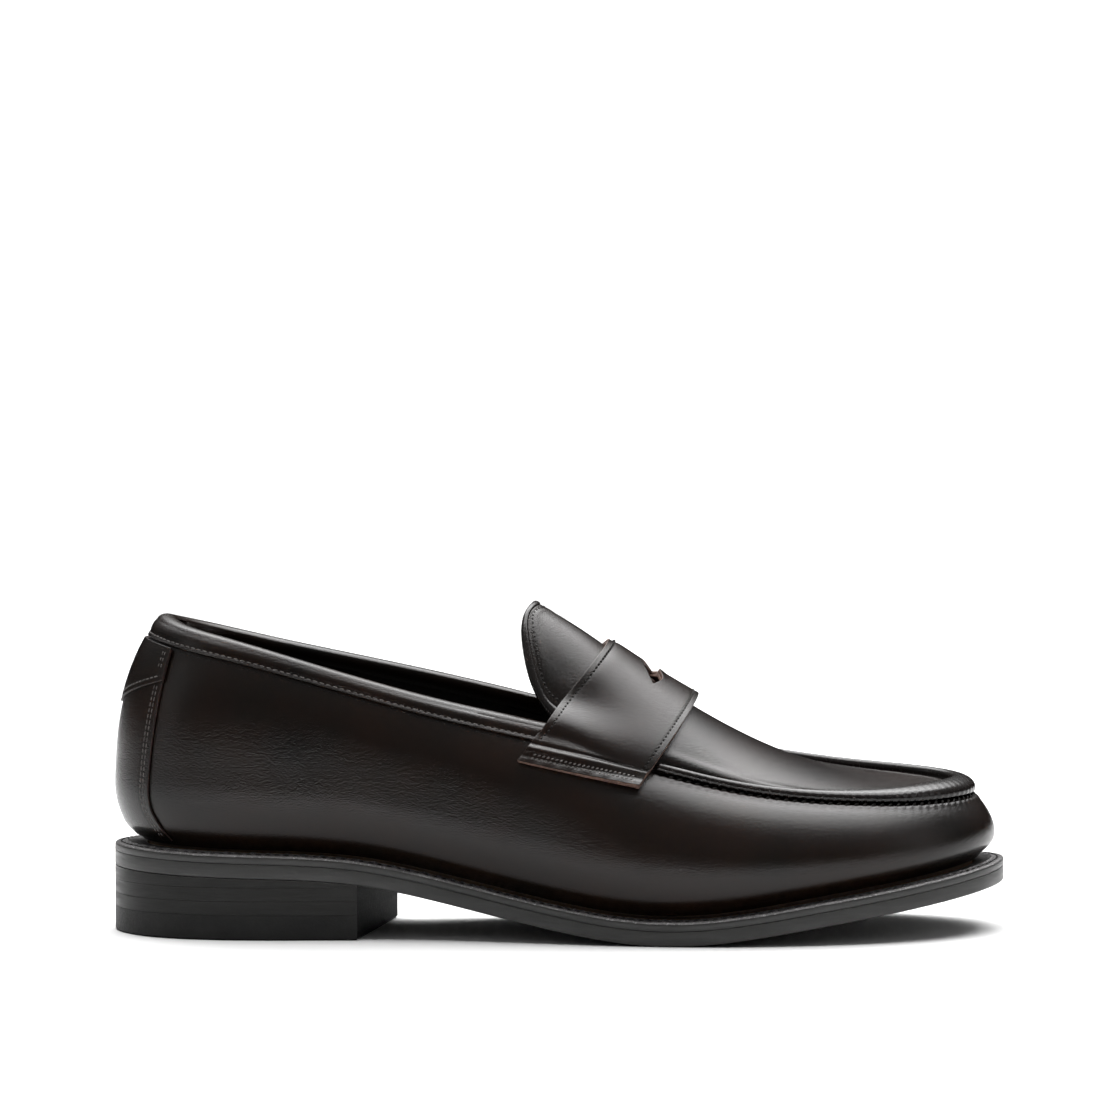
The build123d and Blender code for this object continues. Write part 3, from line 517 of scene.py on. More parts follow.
def shell(outer, inner, faces):
    """A closed solid between two layers with the same faces, and where its rim faces start."""
    n = len(outer)
    faces = [list(f) for f in faces]
    edges = set()
    for f in faces:
        edges.update(zip(f, f[1:] + f[:1]))
    walls = [[b, a, a + n, b + n] for a, b in sorted(edges) if (b, a) not in edges]
    back = [[v + n for v in f[::-1]] for f in faces]
    return np.vstack([outer, inner]), faces + back + walls, 2 * len(faces)


def layer(name, base, normal, faces, high, low, materials, bevel=0.0):
    """A layer over base points, from low to high along the normals, with its rim in the last material."""
    base = base.reshape(-1, 3)
    first, kept = merged(base, faces)
    normal = normal.reshape(-1, 3)[first]
    faced = [base[first] + normal * np.broadcast_to(np.ravel(d), len(base))[first, None] for d in (high, low)]
    verts, solid, rim = shell(*faced, kept)
    return add_piece(name, verts, solid, materials, rim_from=rim if len(materials) > 1 else None, bevel=bevel)


def grid_normals(p):
    """Normals of a grid of points."""
    return unit(np.cross(np.gradient(p, axis=0), np.gradient(p, axis=1)))


def tube(name, rings, materials, closed=False, sharp=48.0):
    """A solid swept through closed rings of points."""
    n, m, _ = rings.shape
    if closed:
        faces = [[i * m + j, ((i + 1) % n) * m + j, ((i + 1) % n) * m + (j + 1) % m, i * m + (j + 1) % m]
                 for i in range(n) for j in range(m)]
    else:
        faces = grid_faces(n, m, wrap=True).tolist()
        faces.append(list(range(m))[::-1])
        faces.append([(n - 1) * m + j for j in range(m)])
    return add_piece(name, rings.reshape(-1, 3), faces, materials, sharp=sharp)


def along(path, pitch, start=0.0, stop=0.0):
    """Evenly spaced places on a line of points, as fractional indices."""
    size = lengths(path)
    count = max(1, int(round((size[-1] - start - stop) / pitch)))
    at = start + (np.arange(count) + 0.5) * (size[-1] - start - stop) / count
    return np.interp(at, size, np.arange(len(path)))


def pick(rows, at):
    """Rows of an array at fractional indices."""
    i = np.clip(at.astype(int), 0, len(rows) - 2)
    f = (at - i)[:, None]
    return rows[i] * (1 - f) + rows[i + 1] * f


def sew(name, seams, pitch, length, width, material, tilt=0.0, sink=0.12, rise=0.5, start=0.6):
    """Separate stitches along seams of (points, normals), joined into one piece."""
    rings = 7
    sides = 6
    t = np.linspace(-1, 1, rings)
    fat = np.sqrt(np.clip(1 - np.abs(t) ** 3, 0.02, 1))
    angle = np.arange(sides) * 2 * math.pi / sides
    shape = np.stack([
        np.repeat(t * length / 2, sides),
        np.outer(fat, np.cos(angle)).ravel() * width / 2,
        np.outer(fat, np.sin(angle)).ravel() * width / 2 * 0.8 + np.repeat((1 - t * t) * rise * width - sink, sides),
    ], -1)
    faces = grid_faces(rings, sides, wrap=True)
    ends = [list(range(sides))[::-1], [(rings - 1) * sides + j for j in range(sides)]]
    turn = math.radians(tilt)
    verts = []
    all_faces = []
    for path, normals in seams:
        at = along(path, pitch, start, start)
        p = pick(path, at)
        n = unit(pick(normals, at))
        d = unit(pick(path, np.minimum(at + 0.5, len(path) - 1)) - pick(path, np.maximum(at - 0.5, 0)))
        b = unit(np.cross(n, d))
        d = np.cross(b, n)
        for k in range(len(p)):
            turned = d[k] * math.cos(turn) + b[k] * math.sin(turn)
            side = b[k] * math.cos(turn) - d[k] * math.sin(turn)
            base = len(verts) * len(shape)
            verts.append(p[k] + shape[:, :1] * turned + shape[:, 1:2] * side + shape[:, 2:] * n[k])
            all_faces.extend((faces + base).tolist())
            all_faces.extend([[v + base for v in f] for f in ends])
    return add_piece(name, np.vstack(verts), all_faces, [material])


# ---------------------------------------------------------------- bodies

def placed(nodes):
    if nodes:
        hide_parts(*nodes)


def bends(piece, slot, *nodes):
    """A piece that runs over the ball of the foot: its placement goes into its mesh, and the frame parts it stands for
    are hidden.
    """
    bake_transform(piece)
    placed(nodes)


def lifts(piece, slot, *nodes):
    """A piece of the tongue: its placement goes into its mesh, and the frame parts it stands for are hidden."""
    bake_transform(piece)
    placed(nodes)


def rides(piece, slot, *nodes):
    """A piece of the stiff back half."""
    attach(piece, "rearfoot")
    placed(nodes)


# ---------------------------------------------------------------- sole

SPINE_BACK = -108.0
SPINE_FRONT = 112.0
SIDE_COLUMNS = 330
TIP_COLUMNS = 150


def u_on_sole(x, side):
    us = half_turn(side, 900)
    return np.interp(x, station(us)[:, 0], us)


side_x = np.linspace(SPINE_BACK, SPINE_FRONT, SIDE_COLUMNS)
outer_us = u_on_sole(side_x, -1)
inner_us = u_on_sole(side_x[::-1], 1)
sole_us = np.concatenate([
    outer_us,
    np.linspace(outer_us[-1], inner_us[0], TIP_COLUMNS + 2)[1:-1],
    inner_us,
    np.mod(np.linspace(inner_us[-1], outer_us[0] + 1.0, TIP_COLUMNS + 2)[1:-1], 1.0),
])
spine_x = np.concatenate([
    side_x, np.full(TIP_COLUMNS, SPINE_FRONT), side_x[::-1], np.full(TIP_COLUMNS, SPINE_BACK)])
spine = np.stack([spine_x, smooth([-110, -60, 0, 60, 112], [1.0, -1.5, -3.0, 0.5, 4.0])(spine_x)], -1)
sole_rows = station(sole_us)
sole_out = outward(sole_us)
sole_arc = lengths(sole_rows[:, :2])


def over_sole(xy, height):
    """Points over xy, height above the outsole's underside."""
    return with_z(xy, sole_bottom(np.clip(xy[:, 0], -HALF_LENGTH, HALF_LENGTH)) + height)


def sole_loop(inset, height):
    """Points round the sole, inset from its edge and height above its underside."""
    return over_sole(sole_rows[:, :2] - sole_out * np.broadcast_to(inset, len(sole_us))[:, None], height)


def slab(name, profile, materials, foot=False, fill=7, rise=None):
    """A full layer of the sole: its edge profile is (inset, height) from underneath to on top."""
    extra = sole_rows[:, 2] if foot else 0.0
    rows = []
    for inset, height in (profile[0], profile[-1]):
        edge = sole_loop(inset + extra, height)[:, :2]
        rows.append([over_sole(spine * (1 - share) + edge * share, height) for share in np.linspace(0, 1, fill)[:-1]])
    loops = rows[0] + [sole_loop(i + extra, h) for i, h in profile] + rows[1][::-1]
    p = np.array(loops)
    if rise is not None:
        p[..., 2] += rise(p[..., 0])
    verts = p.reshape(-1, 3)
    first, faces = merged(verts, grid_faces(len(loops), len(sole_us), wrap=True))
    return add_piece(name, verts[first], faces, materials)


def closed(rows):
    """A loop of rows with the first one again at its end."""
    return np.vstack([rows, rows[:1]])


outsole = slab("outsole_body", [(0.7, 0.0), (0.25, 0.08), (0.06, 0.3), (0.0, 0.8), (0.0, 2.6), (0.0, 4.6),
                                (0.03, 4.88), (0.15, 4.95), (0.8, 4.98)], [sole_edge])
bends(outsole, "sole", "outsole_rear", "outsole_fore")

welt_w = sole_rows[:, 2] + 1.5
front_share = ease(sole_rows[:, 0], -60, -20)
tooth = 5.8 + (2.8 - 5.8) * front_share
phase = np.cumsum(np.concatenate([[0], np.diff(sole_arc) / ((tooth[1:] + tooth[:-1]) / 2)]))
scallop = 0.5 + 0.5 * np.cos(2 * math.pi * phase)
rough = np.convolve(np.random.default_rng(4).normal(size=len(sole_us) + 8), np.ones(9) / 3.0, "valid")
gap = np.minimum(sole_rows[:, 2], 4.0)
welt_loops = []
for inset, height in [
    (0.55, 5.0), (0.10, 5.05), (0.0, 5.2), (0.0, 6.9), (0.05, 7.25), (0.3, 7.65), (0.8, 7.92), (1.3, 8.02),
    (1.75, 8.0), (2.0, 7.84), (2.35, 7.82), (2.6, 7.98),
]:
    bump = 0.05 * rough if height > 7.3 else 0.0
    welt_loops.append(sole_loop(inset, height + bump))
for share, height in ((0.25, 8.02), (0.45, 8.06), (0.6, 8.15), (0.72, 8.42), (0.84, 8.55), (0.94, 8.30)):
    inset = 2.6 + (gap - 2.6) * share if share < 0.6 else 2.6 + (gap + 0.35 - 2.6) * share
    crown = (height - 8.0) * (0.35 + 0.65 * scallop) + 0.06 * rough * (share > 0.3)
    welt_loops.append(sole_loop(inset + 0.25 * (1 - scallop) * (share > 0.55), 8.0 + crown))
for inset, height in ((-1.45, 7.96), (1.6, 7.9), (1.6, 5.05)):
    welt_loops.append(sole_loop(welt_w + inset, height))
welt_rings = np.array(welt_loops).transpose(1, 0, 2)
welt = tube("welt_strip", welt_rings, [welt_leather, sole_edge], closed=True)
side_bands = 4  # of every ring, which are the strip's side and waxed like the outsole
for face in welt.data.polygons:
    if face.index % welt_rings.shape[1] < side_bands:
        face.material_index = 1
bends(welt, "welt_leather", "welt")

seam_loop = closed(sole_loop(2.18, 8.0))
welt_seam = sew("welt_seam", [(seam_loop, np.tile([0.0, 0.0, 1.0], (len(seam_loop), 1)))], 3.1, 2.7, 0.75,
                thread_dark, sink=0.28, rise=0.3, start=0.0)
bends(welt_seam, "thread", "welt_stitching")

insole = slab("insole", [(3.9, 8.05), (3.9, 10.35)], [flesh], foot=True)
bends(insole, "insole_leather", "insole_board")
cork_fill = slab("cork_bed", [(4.0, 5.1), (4.0, 7.9)], [cork], foot=True)
bends(cork_fill, "cork", "cork_filler")


def pad_rise(x):
    return (HEEL_PAD_T + GAP) * (1 - ease(x, -74, -58))


sock = slab("sock", [(4.6, 10.45), (4.45, 10.8), (4.6, 11.2), (5.2, 11.32)], [lining], foot=True, fill=16,
            rise=pad_rise)
bends(sock, "lining_leather", "sock_liner")

rib_rings = np.array([sole_loop(sole_rows[:, 2] + i, h) for i, h in
                      ((2.15, 5.1), (2.15, 7.7), (2.35, 7.9), (3.3, 7.9), (3.5, 7.7), (3.5, 5.1))]).transpose(1, 0, 2)
rib = tube("canvas_rib", rib_rings, [canvas], closed=True)
bends(rib, "canvas", "gemming_rib")
inseam = sew("inseam", [(closed(sole_loop(sole_rows[:, 2] + 1.8, 6.55)), closed(flat_out(sole_us)))], 6.0, 5.4, 0.5,
             canvas, sink=0.2, rise=0.3, start=0.0)
bends(inseam, "thread", "inseam_thread")

pad_us = np.linspace(-0.125, 0.125, 120)
pad_edge = station(pad_us)[:, :2] - outward(pad_us) * (station(pad_us)[:, 2:3] + 5.5)
pad_edge = pad_edge[pad_edge[:, 0] < -77.0]
pad_mid = pad_edge.mean(0)
pad_rows = [over_sole(pad_mid + (pad_edge - pad_mid) * share, height) for share, height in (
    (0.0, 10.5), (0.5, 10.5), (0.96, 10.5), (1.0, 10.75), (1.0, 11.3), (0.97, 11.65), (0.7, 11.75), (0.35, 11.75),
    (0.0, 11.75))]
pad_verts = np.array(pad_rows).reshape(-1, 3)
first, faces = merged(pad_verts, grid_faces(len(pad_rows), len(pad_edge), wrap=True))
pad = add_piece("heel_cushion", pad_verts[first], faces, [foam])
rides(pad, "foam", "heel_pad")


# ---------------------------------------------------------------- heel

def breast_x(y):
    return HEEL_BREAST + HEEL_BREAST_SLOPE * (y + 40.0) / 80.0


def heel_loop(inset):
    """Plan of the heel's edge, inset: round the back, then across its breast."""
    us = np.linspace(-0.2, 0.2, 1600)
    xy = station(us)[:, :2] - outward(us) * inset
    edge = evenly(xy[xy[:, 0] < breast_x(xy[:, 1]) - inset], 260)
    share = np.linspace(0, 1, 42)[1:-1, None]
    return np.vstack([edge, edge[-1] * (1 - share) + edge[0] * share])


def heel_block(name, low, high, material, slot, node, under_sole=False, low_round=0.09, high_round=0.07):
    """A layer of the heel. Each of its rings is at an inset and a share of its height, or where an edge's
    rounding starts (None for the lower edge, -1 for the upper one)."""
    rings = []
    for inset, share in ((low_round + 0.5, 0.0), (low_round, 0.0), (0.0, None), (0.0, 0.5), (0.0, -1.0),
                         (high_round, 1.0), (high_round + 0.5, 1.0)):
        xy = heel_loop(inset)
        top = np.full(len(xy), high)
        if under_sole:
            top = np.minimum(high, over_sole(xy, -0.05)[:, 2])
        if share is None:
            z = low + np.minimum(low_round, (top - low) * 0.2)
        elif share < 0:
            z = top - np.minimum(high_round, (top - low) * 0.2)
        else:
            z = low + (top - low) * share
        rings.append(with_z(xy, z))
    piece = tube(name, np.array(rings), [material, breast_painted_shade], sharp=30.0)
    # The heel breast's faces that turn to the front take the painted-shade material.
    for face in piece.data.polygons:
        if face.normal.x > 0.7 and abs(face.normal.z) < 0.2 and face.center.x / MM > HEEL_BREAST - 16:
            face.material_index = 1
    rides(piece, slot, node)


heel_block("heel_top_lift", 0.0, TOP_PIECE_Z, rubber, "rubber_heel", "heel_top_piece", low_round=0.7)
heel_block("heel_lift_low", TOP_PIECE_Z, LIFT_3_Z, stacked, "stacked_heel", "heel_lift_3")
heel_block("heel_lift_mid", LIFT_3_Z, LIFT_2_Z, stacked, "stacked_heel", "heel_lift_2", under_sole=True)
heel_block("heel_lift_high", LIFT_2_Z, HEEL_CEILING, stacked, "stacked_heel", "heel_lift_1", under_sole=True)


# ---------------------------------------------------------------- sides

side_us = np.concatenate([
    np.linspace(0, 0.27, 150, endpoint=False),
    np.linspace(0.27, 0.73, 840, endpoint=False),
    np.linspace(0.73, 1.0, 150, endpoint=False),
])
seam_height = smooth(
    [0.26, 0.30, 0.34, 0.37, 0.40, 0.43, 0.46, 0.5, 0.54, 0.57, 0.60, 0.63, 0.66, 0.70, 0.74],
    [1.0, 1.0, 0.993, 0.978, 0.95, 0.90, 0.865, 0.85, 0.865, 0.90, 0.95, 0.978, 0.993, 1.0, 1.0],
)


def seam_v(u):
    return np.clip(seam_height(u), 0.0, 0.999)


ridge_start = u_at(30.5, -1)
ridge_end = u_at(33.0, +1)
side_top = wall(side_us, seam_v(side_us))
side_arc = lengths(side_top)
on_ridge = ease(side_us, ridge_start - 0.004, ridge_start + 0.008) * (
    1 - ease(side_us, ridge_end - 0.008, ridge_end + 0.004))

side_vs = np.concatenate([np.linspace(0.0, 0.76, 30, endpoint=False), np.linspace(0.76, 1.0, 44)])
U, V = np.meshgrid(side_us, side_vs, indexing="ij")
base = wall(U, V)
normal = wall_normal(U, V)
height = np.array([lengths(column) for column in base])
seam_at = np.array([np.interp(seam_v(u), side_vs, h) for u, h in zip(side_us, height)])
below = seam_at[:, None] - height
fold = side_arc[:, None] + below * 0.45
pucker = 0.5 + 0.5 * np.cos(2 * math.pi * fold / RIDGE_PITCH)
groove = -0.85 * hump(below, 0, 0.95)
swell = 0.24 * hump(below, 2.0, 1.2) * (0.6 + 0.4 * pucker)
gather = 0.10 * (pucker - 0.5) * np.exp(-np.clip(below - 0.6, 0, None) / 3.2)
under = -0.9 * ease(-below, 0.2, 1.4)
ripple = 0.10 * np.sin(side_arc / 31.0)[:, None] * np.sin(V * 7.0 + 1.0)
relief = (groove + swell + gather + under) * on_ridge[:, None]
relief = relief + ripple * ease(V, 0.1, 0.3) * (1 - ease(V, 0.8, 0.95))
tall = height[:, -1:]
belly = 1.1 * hump(height, np.minimum(17.0, 0.33 * tall), np.minimum(9.0, 0.2 * tall))
tuck = -2.4 * (1 - ease(height, 0.0, 8.5))
drape = belly + tuck


def draped(u, v):
    """How far the side stands off the frame's wall at u and v, for what lies on it."""
    u = np.asarray(u, float)
    v = np.broadcast_to(np.asarray(v, float), u.shape)
    column = np.interp(np.mod(u, 1.0), side_us, np.arange(len(side_us))).astype(int)
    row = np.interp(v, side_vs, np.arange(len(side_vs)))
    i = np.minimum(row.astype(int), len(side_vs) - 2)
    f = row - i
    return drape[column, i] * (1 - f) + drape[column, i + 1] * f


side_faces = grid_faces(len(side_us), len(side_vs))
wrap = [[(len(side_us) - 1) * len(side_vs) + k, (len(side_us) - 1) * len(side_vs) + k + 1, k + 1, k]
        for k in range(len(side_vs) - 1)]
outer_skin = base + normal * (relief + drape)[..., None]
inner_skin = base + normal * (np.minimum(tuck, 0) - LEATHER_T)[..., None]
verts, solid, rim = shell(outer_skin.reshape(-1, 3), inner_skin.reshape(-1, 3), side_faces.tolist() + wrap)
upper = add_piece("upper_side", verts, solid, [calf, dyed_edge], rim_from=rim)
bends(upper, "upper_leather", "side_upper_rear", "side_upper_fore", "side_upper_bend_outer",
      "side_upper_bend_inner")

for name, u_range, node, body in (("lining_quarter", (-0.2395, 0.2395), "quarter_lining", rides),
                                  ("lining_vamp", (0.2405, 0.7595), "vamp_lining", bends)):
    U, V = np.meshgrid(np.linspace(*u_range, 220), np.linspace(0.05, 0.985, 34), indexing="ij")
    piece = layer(name, wall(U, V), wall_normal(U, V), grid_faces(*U.shape), -LINING_DEPTH,
                  -LINING_DEPTH - LINING_T, [lining], bevel=0.2)
    body(piece, "lining_leather", node)


for name, low_u, high_u, node in (("counter_board", -0.158, 0.158, "heel_counter"),
                                  ("puff_board", 0.432, 0.568, "toe_puff")):
    U, R = np.meshgrid(np.linspace(low_u, high_u, 120), np.linspace(0, 1, 20), indexing="ij")
    reach = 0.72 - 0.5 * (np.abs(U) / 0.16) ** 3 if node == "heel_counter" else 0.88
    V = 0.17 + (reach - 0.17) * R
    piece = layer(name, wall(U, V), wall_normal(U, V), grid_faces(*U.shape), -1.5, -2.6, [stiffener])
    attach(piece, "rearfoot" if node == "heel_counter" else "forefoot")
    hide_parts(node)


# ---------------------------------------------------------------- apron and ridge

def leaf(outline, spine_end, tip, rows):
    """Points and faces of a flat shape: columns run from a spine out to its outline, which goes up one
    side, round the tip and back down the other. tip is +1 or -1, the way the tip points along X."""
    beyond = np.nonzero((outline[:, 0] - spine_end) * tip >= 0)[0]
    left = outline[:beyond[0]]
    right = outline[beyond[-1] + 1:][::-1]
    order = np.argsort(right[:, 0])
    other = np.interp(left[:, 0], right[order, 0], right[order, 1])
    right = np.stack([left[:, 0], other], -1)[::-1]
    edge = np.vstack([left, outline[beyond], right])
    root = np.concatenate([left[:, 0], np.full(len(beyond), spine_end), right[:, 0]])
    root = np.stack([root, middle(root)], -1)
    share = rows[:, None, None]
    plan = root * (1 - share) + edge * share
    reach = np.linalg.norm(edge - root, axis=1)
    away = (1 - rows)[:, None] * reach
    return plan, away, grid_faces(len(rows), len(edge))


def surface_normal(xy):
    x, y = xy[..., 0], xy[..., 1]
    e = 0.05
    dx = (top_surface(x + e, y) - top_surface(x - e, y)) / (2 * e)
    dy = (top_surface(x, y + e) - top_surface(x, y - e)) / (2 * e)
    return unit(np.stack([-dx, -dy, np.ones_like(dx)], -1))


def on_top(xy, d=0.0):
    """Points d off the top of the shoe."""
    z = top_surface(xy[..., 0], xy[..., 1])
    return with_z(xy, z) + surface_normal(xy) * np.broadcast_to(d, z.shape)[..., None]


def top_outline(x0, inset, count):
    """Plan of the sides' top edge, inset: from x0 round the toe and back to x0."""
    us = np.linspace(u_at(x0, -1), u_at(x0, +1), count)
    return wall(us, 1.0)[:, :2] - outward(us) * inset


apron_rows = 1 - (1 - np.linspace(0, 1, 44)) ** 1.7
plan, away, faces = leaf(top_outline(TONGUE_END + 0.3, 2.35, 900), 112.0, 1, apron_rows)
lip = ease(plan[..., 0], 26, 36)
dip = (0.35 * hump(away, 2.6, 1.3) - 0.75 * hump(away, 0, 0.85)) * lip
wave = 0.10 * np.sin(plan[..., 0] / 11.0 + plan[..., 1] / 17.0) * ease(away, 1.0, 8.0)
apron = layer("apron_leather", on_top(plan), surface_normal(plan), faces, dip + wave, -LEATHER_T,
              [calf, dyed_edge], bevel=0.15)
bends(apron, "upper_leather", "apron_rear", "apron_fore", "apron_bend")

plan, away, faces = leaf(top_outline(TONGUE_END + 0.6, 5.5, 300), 110.0, 1, np.linspace(0, 1, 16))
piece = layer("lining_apron", on_top(plan), surface_normal(plan), faces, -1.9, -2.8, [lining])
bends(piece, "lining_leather", "apron_lining")

ridge_us = np.linspace(ridge_start, ridge_end, 1100)
ring_top = wall(ridge_us, 1.0)
ridge_out = flat_out(ridge_us)
foot = wall(ridge_us, seam_v(ridge_us))
up = np.array([0.0, 0.0, 1.0])
ridge_arc = np.interp(ridge_us, side_us, side_arc)
lobe = 0.5 + 0.5 * np.cos(2 * math.pi * (ridge_arc / RIDGE_PITCH))


def ridge_curve(a, b, c, d, n):
    """n points of a Bezier arch between rows of control points."""
    t = np.linspace(0, 1, n)[None, :, None]
    return bezier(*(x[:, None, :] for x in (a, b, c, d)), t)


foot_out = foot + ridge_out * (0.55 + 0.12 * lobe)[:, None] + up * 0.75
heart = ring_top - ridge_out * 2.55 + up * 0.05
crown = ring_top - ridge_out * 0.75 + up * 3.15
bulge = np.linalg.norm(foot_out - crown, axis=1)[:, None]
inner_arch = ridge_curve(heart, heart + up * 1.9 - ridge_out * 0.25, crown - ridge_out * 1.25, crown, 9)
outer_arch = ridge_curve(crown, crown + ridge_out * (0.30 * bulge + 0.35), foot_out + up * 0.42 * bulge
                         + ridge_out * (0.28 + 0.10 * bulge), foot_out, 13)
tuck_in = foot - ridge_out * 0.5 + up * (0.1 + 0.25 * lobe[:, None])
keel = ring_top - ridge_out * 1.3 - up * 0.5
arch = np.concatenate([inner_arch, outer_arch[:, 1:], tuck_in[:, None], keel[:, None]], 1)
taper = ease(ridge_us, ridge_start, ridge_start + 0.004) * (1 - ease(ridge_us, ridge_end - 0.004, ridge_end))
arch = keel[:, None] + (arch - keel[:, None]) * (0.5 + 0.5 * taper)[:, None, None]
ridge = tube("ridge_roll", arch, [calf_rolled])
bends(ridge, "upper_leather", "ridge_piping")

row = wall(ridge_us, seam_v(ridge_us) - 0.012)
row_normal = unit(wall_normal(ridge_us, seam_v(ridge_us)) + np.array([0, 0, 0.15]))
keep = slice(18, -18)
ridge_seam = sew("ridge_seam", [((row + row_normal * 0.05)[keep], row_normal[keep])], RIDGE_PITCH, 2.5, 0.85,
                 thread_dark, tilt=38.0, sink=0.35, rise=0.25, start=0.5)
bends(ridge_seam, "thread", "ridge_stitches")


# ---------------------------------------------------------------- tongue

def tongue_edge(inset, count=420):
    """The tongue's edge ahead of its seam, from the outer side round the back to the inner side."""
    line = curve_through(np.array(tongue_outline(inset), float), 4000)
    return evenly(line[line[:, 0] <= TONGUE_END - 0.3], count)


for name, inset, high, low, material, node, slot in (
        ("tongue_leather", 1.6, 0.0, -LEATHER_T, calf, "tongue", "upper_leather"),
        ("tongue_backing", 1.6, -LEATHER_T - GAP, -LEATHER_T - GAP - LINING_T, lining, "tongue_lining",
         "lining_leather")):
    rows = 1 - (1 - np.linspace(0, 1, 40)) ** 1.6
    plan, away, faces = leaf(tongue_edge(inset), 0.0, -1, rows)
    relief = np.zeros(away.shape)
    if name == "tongue_leather":
        relief = -0.10 * hump(away, 1.95, 0.5) + 0.10 * hump(away, 4.4, 2.0)
        relief = relief + 0.08 * np.sin(plan[..., 0] / 5.0) * ease(away, 3.0, 9.0)
    piece = layer(name, on_top(plan), surface_normal(plan), faces, high + relief, low, [material], bevel=0.12)
    lifts(piece, slot, node)

edge = tongue_edge(0.0)
inner_edge = tongue_edge(2.1)
rings = []
for share, d in ((1.0, 0.05), (0.92, 0.34), (0.72, 0.52), (0.45, 0.50), (0.2, 0.30), (0.04, -0.10), (0.0, -0.8),
                 (0.0, -1.7), (0.06, -2.3), (0.3, -2.52), (0.72, -2.55), (0.74, 0.02)):
    rings.append(on_top(edge * (1 - share) + inner_edge * share, d))
binding = tube("tongue_edge_binding", np.array(rings).transpose(1, 0, 2), [calf_rolled])
lifts(binding, "edge_leather", "tongue_binding")

dots = tongue_edge(3.55, 900)
dots = dots[dots[:, 0] < 9.0]
holes = sew("tongue_seam", [(on_top(dots, -0.12), surface_normal(dots))], 1.75, 1.05, 0.85,
            thread_dark, sink=0.10, rise=0.15)
lifts(holes, "thread", "tongue_stitches")


# ---------------------------------------------------------------- saddle strap

section_x = np.linspace(-20, 56, 39)
sections = np.array([curve_through(saddle_section(x), 320) for x in section_x])


def section_at(x):
    """One (y, z) of the saddle's surface for each of its columns, each column at its own x."""
    f = np.clip((x - section_x[0]) / (section_x[1] - section_x[0]), 0, len(section_x) - 1.001)
    i = f.astype(int)
    f = (f - i)[:, None]
    k = np.arange(sections.shape[1])
    return sections[i, k, 1:] * (1 - f) + sections[i + 1, k, 1:] * f


STRAP_ROWS = 97
STRAP_COLS = 420
back_low, front_low, front_high, back_high = (np.array(p) for p in STRAP)
strap_rows = []
for t in np.linspace(0, 1, STRAP_ROWS):
    low_point = back_low * (1 - t) + front_low * t
    high_point = back_high * (1 - t) + front_high * t
    lean = (high_point[0] - low_point[0]) / (high_point[1] - low_point[1])
    x = np.full(sections.shape[1], low_point[0])
    for _ in range(14):
        yz = section_at(x)
        x = 0.35 * x + 0.65 * (low_point[0] + (yz[:, 1] - low_point[1]) * lean)
    line = np.concatenate([x[:, None], section_at(x)], -1)
    above = np.nonzero(line[:, 2] >= low_point[1])[0]
    a, b = above[0], above[-1]
    fa = (low_point[1] - line[a - 1, 2]) / (line[a, 2] - line[a - 1, 2])
    fb = (low_point[1] - line[b + 1, 2]) / (line[b, 2] - line[b + 1, 2])
    line = np.vstack([line[a - 1] * (1 - fa) + line[a] * fa, line[a:b + 1], line[b + 1] * (1 - fb) + line[b] * fb])
    strap_rows.append(evenly(line, STRAP_COLS))
strap_grid = np.array(strap_rows)
strap_normal = grid_normals(strap_grid)
strap_length = np.linalg.norm(np.diff(strap_grid, axis=1), axis=2).sum(1)
strap_width = np.linalg.norm(np.diff(strap_grid, axis=0), axis=2).sum(0)


def on_strap(t, s, grid=strap_grid):
    """Points of the strap's base surface: t runs from its back edge to its front one, s across the shoe."""
    f = np.clip(t, 0, 1) * (STRAP_ROWS - 1)
    g = np.clip(s, 0, 1) * (STRAP_COLS - 1)
    i = np.minimum(f.astype(int), STRAP_ROWS - 2)
    j = np.minimum(g.astype(int), STRAP_COLS - 2)
    f = (f - i)[..., None]
    g = (g - j)[..., None]
    top = grid[i, j] * (1 - g) + grid[i, j + 1] * g
    low = grid[i + 1, j] * (1 - g) + grid[i + 1, j + 1] * g
    return top * (1 - f) + low * f


def width_at(s):
    return np.interp(s, np.linspace(0, 1, STRAP_COLS), strap_width)


def strap_relief(t, s):
    """How the strap swells and dips off its base surface."""
    length = np.interp(t, np.linspace(0, 1, STRAP_ROWS), strap_length)
    low = np.minimum(s, 1 - s) * length
    side = np.minimum(t, 1 - t) * width_at(s)
    roll = 0.40 * hump(low, 5.3, 1.05) - 0.42 * hump(low, 7.0, 0.7)
    seat = -0.35 * hump(low, 2.6, 1.0) + 0.12 * hump(low, 0, 0.6)
    wobble = 0.10 * np.sin(t * 41.0) * hump(low, 0, 2.0)
    sewn = -0.09 * hump(side, 2.1, 0.5) * ease(low, 4.0, 7.0)
    lip = 0.05 * hump(side, 0, 0.8)
    return roll + seat + sewn + lip + wobble


slot_y0 = float(middle(SLOT_X))
half = SLOT_HALF
slot_back = smooth([-half, -half / 2, 0, half / 2, half],
                   [SLOT_X + 1.0, SLOT_X - 1.6, SLOT_X - 2.8, SLOT_X - 1.6, SLOT_X + 1.0])
slot_front = smooth([-half, -half / 2, 0, half / 2, half],
                    [SLOT_X + 1.0, SLOT_X + 4.0, SLOT_X + SLOT_WIDTH - 4.2, SLOT_X + 4.0, SLOT_X + 1.0])
fine_t = np.linspace(0, 1, 400)
cuts = []
for j in range(STRAP_COLS):
    p = on_strap(fine_t, np.full(400, j / (STRAP_COLS - 1)))
    y = p[:, 1] - slot_y0
    hit = []
    for arc in (slot_back, slot_front):
        past = p[:, 0] - arc(np.clip(y, -half, half))
        k = int(np.argmax(past > 0))
        f = -past[k - 1] / (past[k] - past[k - 1]) if k > 0 else 0.0
        where = fine_t[max(k - 1, 0)] + f * (fine_t[1] - fine_t[0])
        hit.append((where, abs(np.interp(where, fine_t, y)) < half and k > 0))
    cuts.append((hit[0][0], hit[1][0], hit[0][1] and hit[1][1]))
